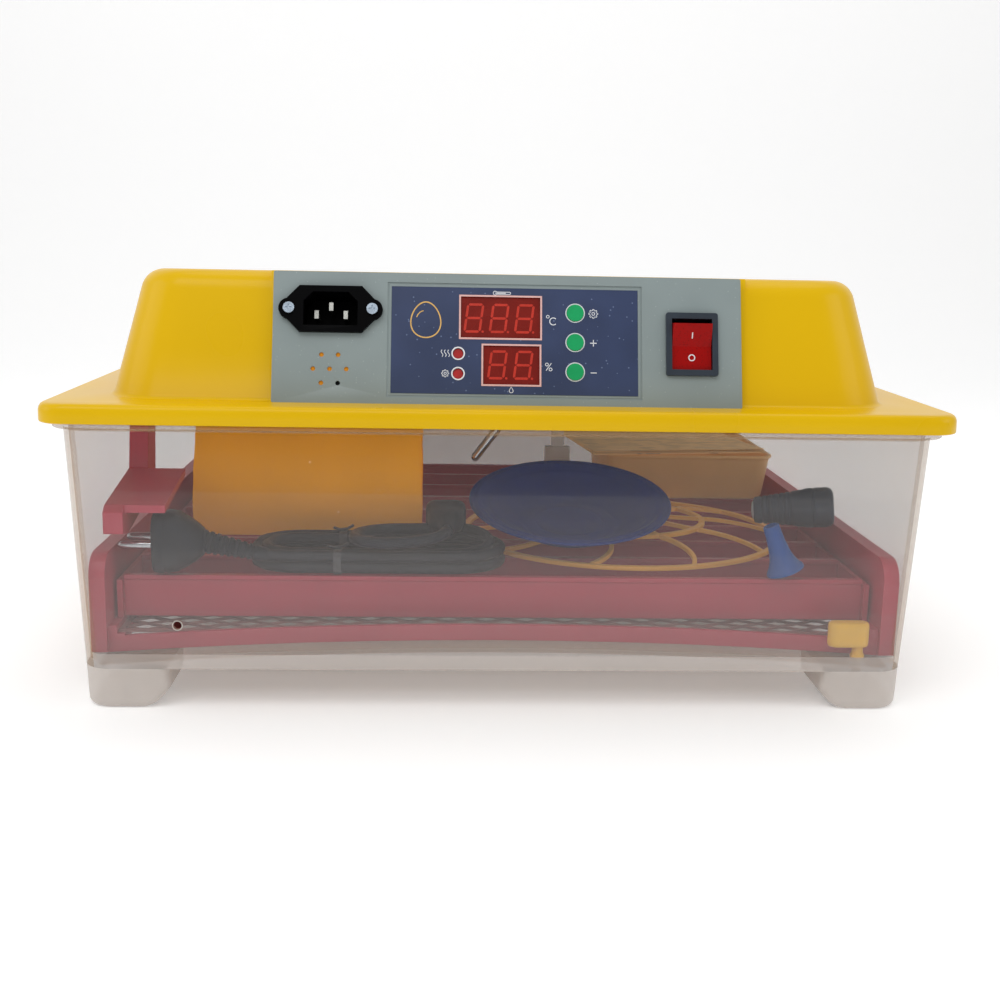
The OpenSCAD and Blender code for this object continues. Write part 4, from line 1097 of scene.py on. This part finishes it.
line_bm = bmesh.new()
border(line_bm, -0.1, -0.1, LABEL_SIZE[0] + 0.1, LABEL_SIZE[1] + 0.1, 1.0, -0.6, -0.42)
on_label("label_edge_line", line_bm, looks["grey_panel"], "grey_panel")

# ---------- what shows through the sound holes: the yellow housing, painted in shade ---

SOUND_C, SOUND_RING = (27.6, 16.7), 8.0
sound_bm = bmesh.new()
for x, y in [(0, 0)] + [(SOUND_RING * cos(a), SOUND_RING * sin(a)) for a in
                        [pi / 3 * k for k in range(5)]]:
    prism(sound_bm, circle_points(1.12, 20, (x, y)), -1.4, -1)
finish_mesh("sound_hole_backs", sound_bm, "lid", "yellow_lid", look=sound_backs_painted_shade, matrix=panel_matrix(*SOUND_C))

# ---------- signs on the rocker ----------

ROCKER_TILT = radians(12)
WING_SLOPE = atan2(6.6 - 4.4, 11.3)
rocker_place = panel_matrix(SWITCH_C[0], SWITCH_C[1], -4) @ Matrix.Rotation(ROCKER_TILT, 4, "X")
rocker_bm = bmesh.new()
for side in (-1, 1):
    part = bmesh.new()
    if side > 0:
        band(part, [(0, -1.5), (0, 1.5)], 0.5, -0.02, 0.08)
    else:
        full_ring(part, 0, 0, 1.45, 0.5, -0.02, 0.08, 28)
    reach = 5.4
    part.transform(Matrix.Translation((0, side * reach, 4.4 + reach * tan(WING_SLOPE)))
                   @ Matrix.Rotation(side * WING_SLOPE, 4, "X"))
    spare = to_mesh("rocker_sign", part)
    rocker_bm.from_mesh(spare)
    bpy.data.meshes.remove(spare)
finish_mesh("rocker_signs", rocker_bm, "switch_rocker", "rocker_red", look=print_white, matrix=rocker_place)

# ---------- expanded metal floor ----------

MESH_LOW, MESH_HIGH = cad_box("mesh_floor")
CELL_X, CELL_Y = 20.0, 11.0
mesh_bm = bmesh.new()
across = int((MESH_HIGH.x - MESH_LOW.x - 3) / (CELL_X / 2))
step_x = (MESH_HIGH.x - MESH_LOW.x - 3) / across
strands = int((MESH_HIGH.y - MESH_LOW.y - 3) / (CELL_Y / 2))
step_y = (MESH_HIGH.y - MESH_LOW.y - 3) / strands
for row in range(strands):
    y = MESH_LOW.y + 1.5 + step_y * (row + 0.5)
    zigzag = [(MESH_LOW.x + 1.5 + step_x * k, y + step_y / 2 * (-1) ** (k + row)) for k in range(across + 1)]
    band(mesh_bm, zigzag, 1.3, MESH_LOW.z + 0.1, MESH_HIGH.z - 0.1)
EDGE_W = 2.5
border(mesh_bm, MESH_LOW.x + EDGE_W, MESH_LOW.y + EDGE_W, MESH_HIGH.x - EDGE_W, MESH_HIGH.y - EDGE_W, EDGE_W,
       MESH_LOW.z, MESH_HIGH.z)
finish_mesh("expanded_mesh", mesh_bm, "base", "grey_mesh", ["mesh_floor"], sharp=40)

# ---------- stowed accessories ----------

DISH_AT, DISH_LEAN = (43, -121, 89), 13
CUP_AT, CUP_LEAN = (150.5, -186, 64.7), -21
dish_bm = bmesh.new()
lathe(dish_bm, [(0, -16.5), (28, -16.5), (29.8, -16.1), (31, -15), (32.6, -13.2), (38, -9.6), (46, -6),
                (52, -3), (54, -2.2), (56.2, -1.9),
                (56.9, -1.3), (56.9, -0.5), (56.3, -0.05), (55.2, 0), (54.4, -0.35), (53.6, -0.35), (52.8, 0),
                (51.9, -0.1), (51, -0.8), (47, -3), (46, -3.1), (45.2, -3.9), (38, -7.6), (30.4, -12.2), (28, -13.7),
                (25, -14.2), (19.4, -13.8), (18.6, -13.8), (18, -14.2), (0, -14.2)], 96)
finish_mesh("feed_dish", dish_bm, "base", "blue_dish", ["chick_dish"], sharp=50,
            matrix=at(DISH_AT, DISH_LEAN))

MAT_FROM, MAT_TO = Vector((-165, -107, 99)), -40.0
rings = []
LAPS, MAT_STEPS, MAT_T, MAT_END = 3.6, 52, 2.9, -1.2
MAT_R_IN, MAT_R_OUT = 22.0, 35.0
total = int(LAPS * MAT_STEPS)
for k in range(total + 1):
    t = k / total
    a = MAT_END - 2 * pi * LAPS * (1 - t)
    r = MAT_R_IN + (MAT_R_OUT - MAT_T - MAT_R_IN) * t
    left = MAT_FROM.x + 0.9 + 0.8 * sin(a * 3.1) + random.uniform(-0.25, 0.25)
    right_edge = MAT_TO - 0.9 + 0.6 * sin(a * 2.3 + 1)
    ring = []
    for out in (0, MAT_T):
        xs = [left + (right_edge - left) * j / 6 for j in range(7)]
        for x in (xs if out else xs[::-1]):
            wobble = 0.22 * sin(a * 7 + x * 0.11) * sin(x * 0.07)
            reach = r + out + wobble
            ring.append((x, MAT_FROM.y + reach * cos(a), MAT_FROM.z + reach * sin(a)))
    rings.append(ring)
finish_mesh("rolled_mat_spiral", solid(rings), "base", "orange_mat", ["rolled_mat"], sharp=50)

TORCH_AT = Vector((152, -106, 80.5))
TORCH_LEAN, TORCH_TURN = radians(84), radians(-14.8)
torch_way = Vector((sin(TORCH_LEAN) * cos(TORCH_TURN), sin(TORCH_LEAN) * sin(TORCH_TURN),
                    cos(TORCH_LEAN)))
stations = rounds((0, 6.6), (0.6, 7.3), (1.4, 7.5))
for k in range(6):
    z = 4.0 + 3.2 * k
    r = 7.5 + 3.5 * z / 30
    stations += rounds((z, r), (z + 0.35, r - 0.45), (z + 1.2, r - 0.4), (z + 1.5, r + 0.15))
stations += rounds((28, 10.8), (30, 11.4), (33, 11.5), (33.4, 11.1), (34.2, 11.1), (34.6, 11.5), (41, 11.5),
                   (42.4, 11.2), (43.8, 10.4), (44.7, 9), (45, 7.2))
finish_mesh("candler_torch", lofted(stations, pointing(TORCH_AT, torch_way)),
            "base", "candler_black", ["candler_body"], sharp=40)
lens_bm = lofted(rounds((-1.5, 2), (-1.3, 3.6), (-0.7, 5), (0.3, 5.8)), pointing(TORCH_AT, torch_way))
finish_mesh("candler_lens", lens_bm, "base", "candler_black", look=lens_clear, sharp=60)

cup_bm = bmesh.new()
lathe(cup_bm, [(8.6, 0.3), (9.3, 0), (9.9, 0.25), (10, 0.9), (9.5, 1.8), (8.3, 3.4), (7.1, 5.6), (6.1, 8.4),
               (5.4, 11.6), (4.8, 16), (4.4, 21), (4.2, 25.6), (3.9, 26), (3.3, 26), (2.9, 25.6), (2.9, 22),
               (3.3, 16), (3.8, 11.6), (4.7, 8.4), (5.8, 5.6), (7.2, 3.2), (8.2, 1.6), (8.6, 0.3)], 48)
finish_mesh("candler_cup_flared", cup_bm, "base", "candler_blue", ["candler_cup"], sharp=50,
            matrix=at(CUP_AT, CUP_LEAN, "Y"))

TRAY_C = (135.0, 65.0)
tray_rings = []
for inset, z, r in ((7.5, 64.5, 6.5), (6, 64.75, 8), (4.9, 65.6, 9.1), (4.0, 67.2, 10), (0.8, 91.6, 10),
                    (0.4, 92.2, 10.4), (-0.5, 92.6, 11.2), (-0.7, 93.2, 11.4), (-0.7, 93.9, 11.4), (-0.3, 94.4, 11),
                    (0.4, 94.5, 10.4), (1.6, 94.4, 9.2), (2.1, 93.8, 8.7), (2.6, 91.6, 8.2), (5.7, 69, 8),
                    (6.6, 67.4, 7), (8.2, 66.6, 5.6)):
    tray_rings.append(rounded_ring(55 - inset, 65 - inset, r, z, 8, TRAY_C))
finish_mesh("accessory_tray_soft", solid(tray_rings), "base", "cream_tray", ["accessory_tray"], sharp=40)


def sheet(name, corner, turn, width, depth, thick, lift, wave, material):
    """A sheet of paper that curls up at its front edge."""
    rings = []
    for i in range(17):
        s = i / 16
        curl = lift * max(0, 1 - s / 0.3) ** 2
        ring = []
        for up, order in ((thick, range(15)), (0, range(14, -1, -1))):
            for j in order:
                x = width * j / 14
                ripple = wave * (1 + sin(0.05 * x + 2.2 * s))
                ring.append((x, depth * s, up + curl * (0.7 + 0.3 * j / 14) + ripple))
        rings.append(ring)
    finish_mesh(name, solid(rings), "base", "paper", ["booklet"], look=material, sharp=40,
                matrix=at(corner, turn, "Z"))


sheet("booklet_cover", (70, -8, 95.2), 8, 118, 128, 0.5, 0.4, 0.05, looks["paper"])
sheet("booklet_page", (71, -7, 95.85), 7.4, 116, 126, 0.3, 0.8, 0.08, flyleaf)
sheet("booklet_top", (70.5, -7.5, 96.35), 8.6, 117, 127, 0.3, 1.5, 0.1, looks["paper"])

plug_rings = []
for inset, z in ((1.6, 31.2), (0.6, 31.5), (0.1, 32.3), (0, 34), (0, 42), (0.2, 43.2), (0.8, 43.9), (1.9, 44.2)):
    plug_rings.append(rounded_ring(10.5 - inset, 4.3 - inset, 4.2 - inset, z, 8, (DRAIN[0] - 5.3, DRAIN[1])))
drain_bm = solid(plug_rings)
lathe(drain_bm, [(0, 18.2), (1.2, 18.4), (1.9, 19), (2.2, 20), (1.9, 21.2), (1.6, 22), (2.15, 23), (2.15, 25.4),
                 (3.5, 25.5), (3.6, 25.8), (3.6, 26.8), (3.3, 27.2), (2.9, 27.8), (2.7, 32), (0, 32)], 32, DRAIN)
finish_mesh("drain_plug_soft", drain_bm, "drain_plug", "ochre_plug", ["drain_plug"], sharp=50)

# ---------- CAD nodes that keep their shape ----------

for name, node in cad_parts.items():
    for spot in node.material_slots:
        key = spot.material.name.split(".")[0] if spot.material else ""
        if key in looks:
            spot.material = looks[key]

SOFT_EDGES = {
    0.2: ["fan_rotor"],
    0.3: ["slide_bar_left", "slide_bar_right", "crank_arm", "control_panel", "set_button", "plus_button",
          "minus_button", "humidity_sensor"],
    0.35: ["power_inlet", "spoked_ring", "indicator_leds"],
    0.4: ["yoke_plate", "turner_motor", "switch_frame", "switch_rocker", "inner_cover",
          *["divider_%d" % k for k in range(1, 10)]],
    0.5: ["tray_frame", "fan_frame"],
    0.6: ["spare_rail"],
}
for width, names in SOFT_EDGES.items():
    for name in names:
        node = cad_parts[name]
        weld = node.modifiers.new("weld", "WELD")
        weld.merge_threshold = 0.00001
        add_bevel(node, width)

# ---------- floor, light and finish ----------


def floor_material():
    mat = bpy.data.materials.new("studio_floor")
    mat.use_nodes = True
    set_inputs(mat.node_tree.nodes["Principled BSDF"], Base_Color=(0.9, 0.9, 0.9, 1), Roughness=0.9,
               Specular_IOR_Level=0.1, Emission_Color=(1, 1, 1, 1), Emission_Strength=0.22)
    return mat


floor_bm = bmesh.new()
profile = [(-3.0, 0.0), (1.2, 0.0)]
profile += [(1.2 + 0.8 * sin(a), 0.8 - 0.8 * cos(a)) for a in [pi / 2 * k / 10 for k in range(1, 11)]]
profile += [(2.0, 3.5)]
loft(floor_bm, [[(x, y, z) for y, z in profile] for x in (-4.0, 4.0)], closed=False)
floor_mesh = to_mesh("studio_floor", floor_bm)
floor_mesh.materials.append(floor_material())
floor = in_scene("studio_floor", floor_mesh)
floor.location.z = -0.0005
for face in floor_mesh.polygons:
    face.use_smooth = True


def area_light(name, place, aim, size, power):
    data = bpy.data.lights.new(name, "AREA")
    data.shape = "RECTANGLE"
    data.size, data.size_y = size
    data.energy = power
    lamp = in_scene(name, data)
    lamp.location = place
    lamp.rotation_euler = (Vector(aim) - Vector(place)).to_track_quat("-Z", "Y").to_euler()


area_light("key", (-0.5, -1.1, 1.6), (0, 0, 0.1), (1.4, 0.9), 11)
area_light("overhead", (0.2, 0.3, 1.9), (0, 0, 0.1), (1.6, 1.2), 8)
area_light("right_fill", (1.5, -0.7, 0.8), (0, 0, 0.12), (0.9, 0.9), 4)
area_light("left_fill", (-1.5, -0.3, 0.7), (0, 0, 0.12), (0.9, 0.9), 3.4)

world = bpy.data.worlds.new("studio")
world.use_nodes = True
set_inputs(world.node_tree.nodes["Background"], Color=(1, 1, 1, 1), Strength=0.5)
bpy.context.scene.world = world
bpy.context.scene.view_settings.view_transform = "Standard"
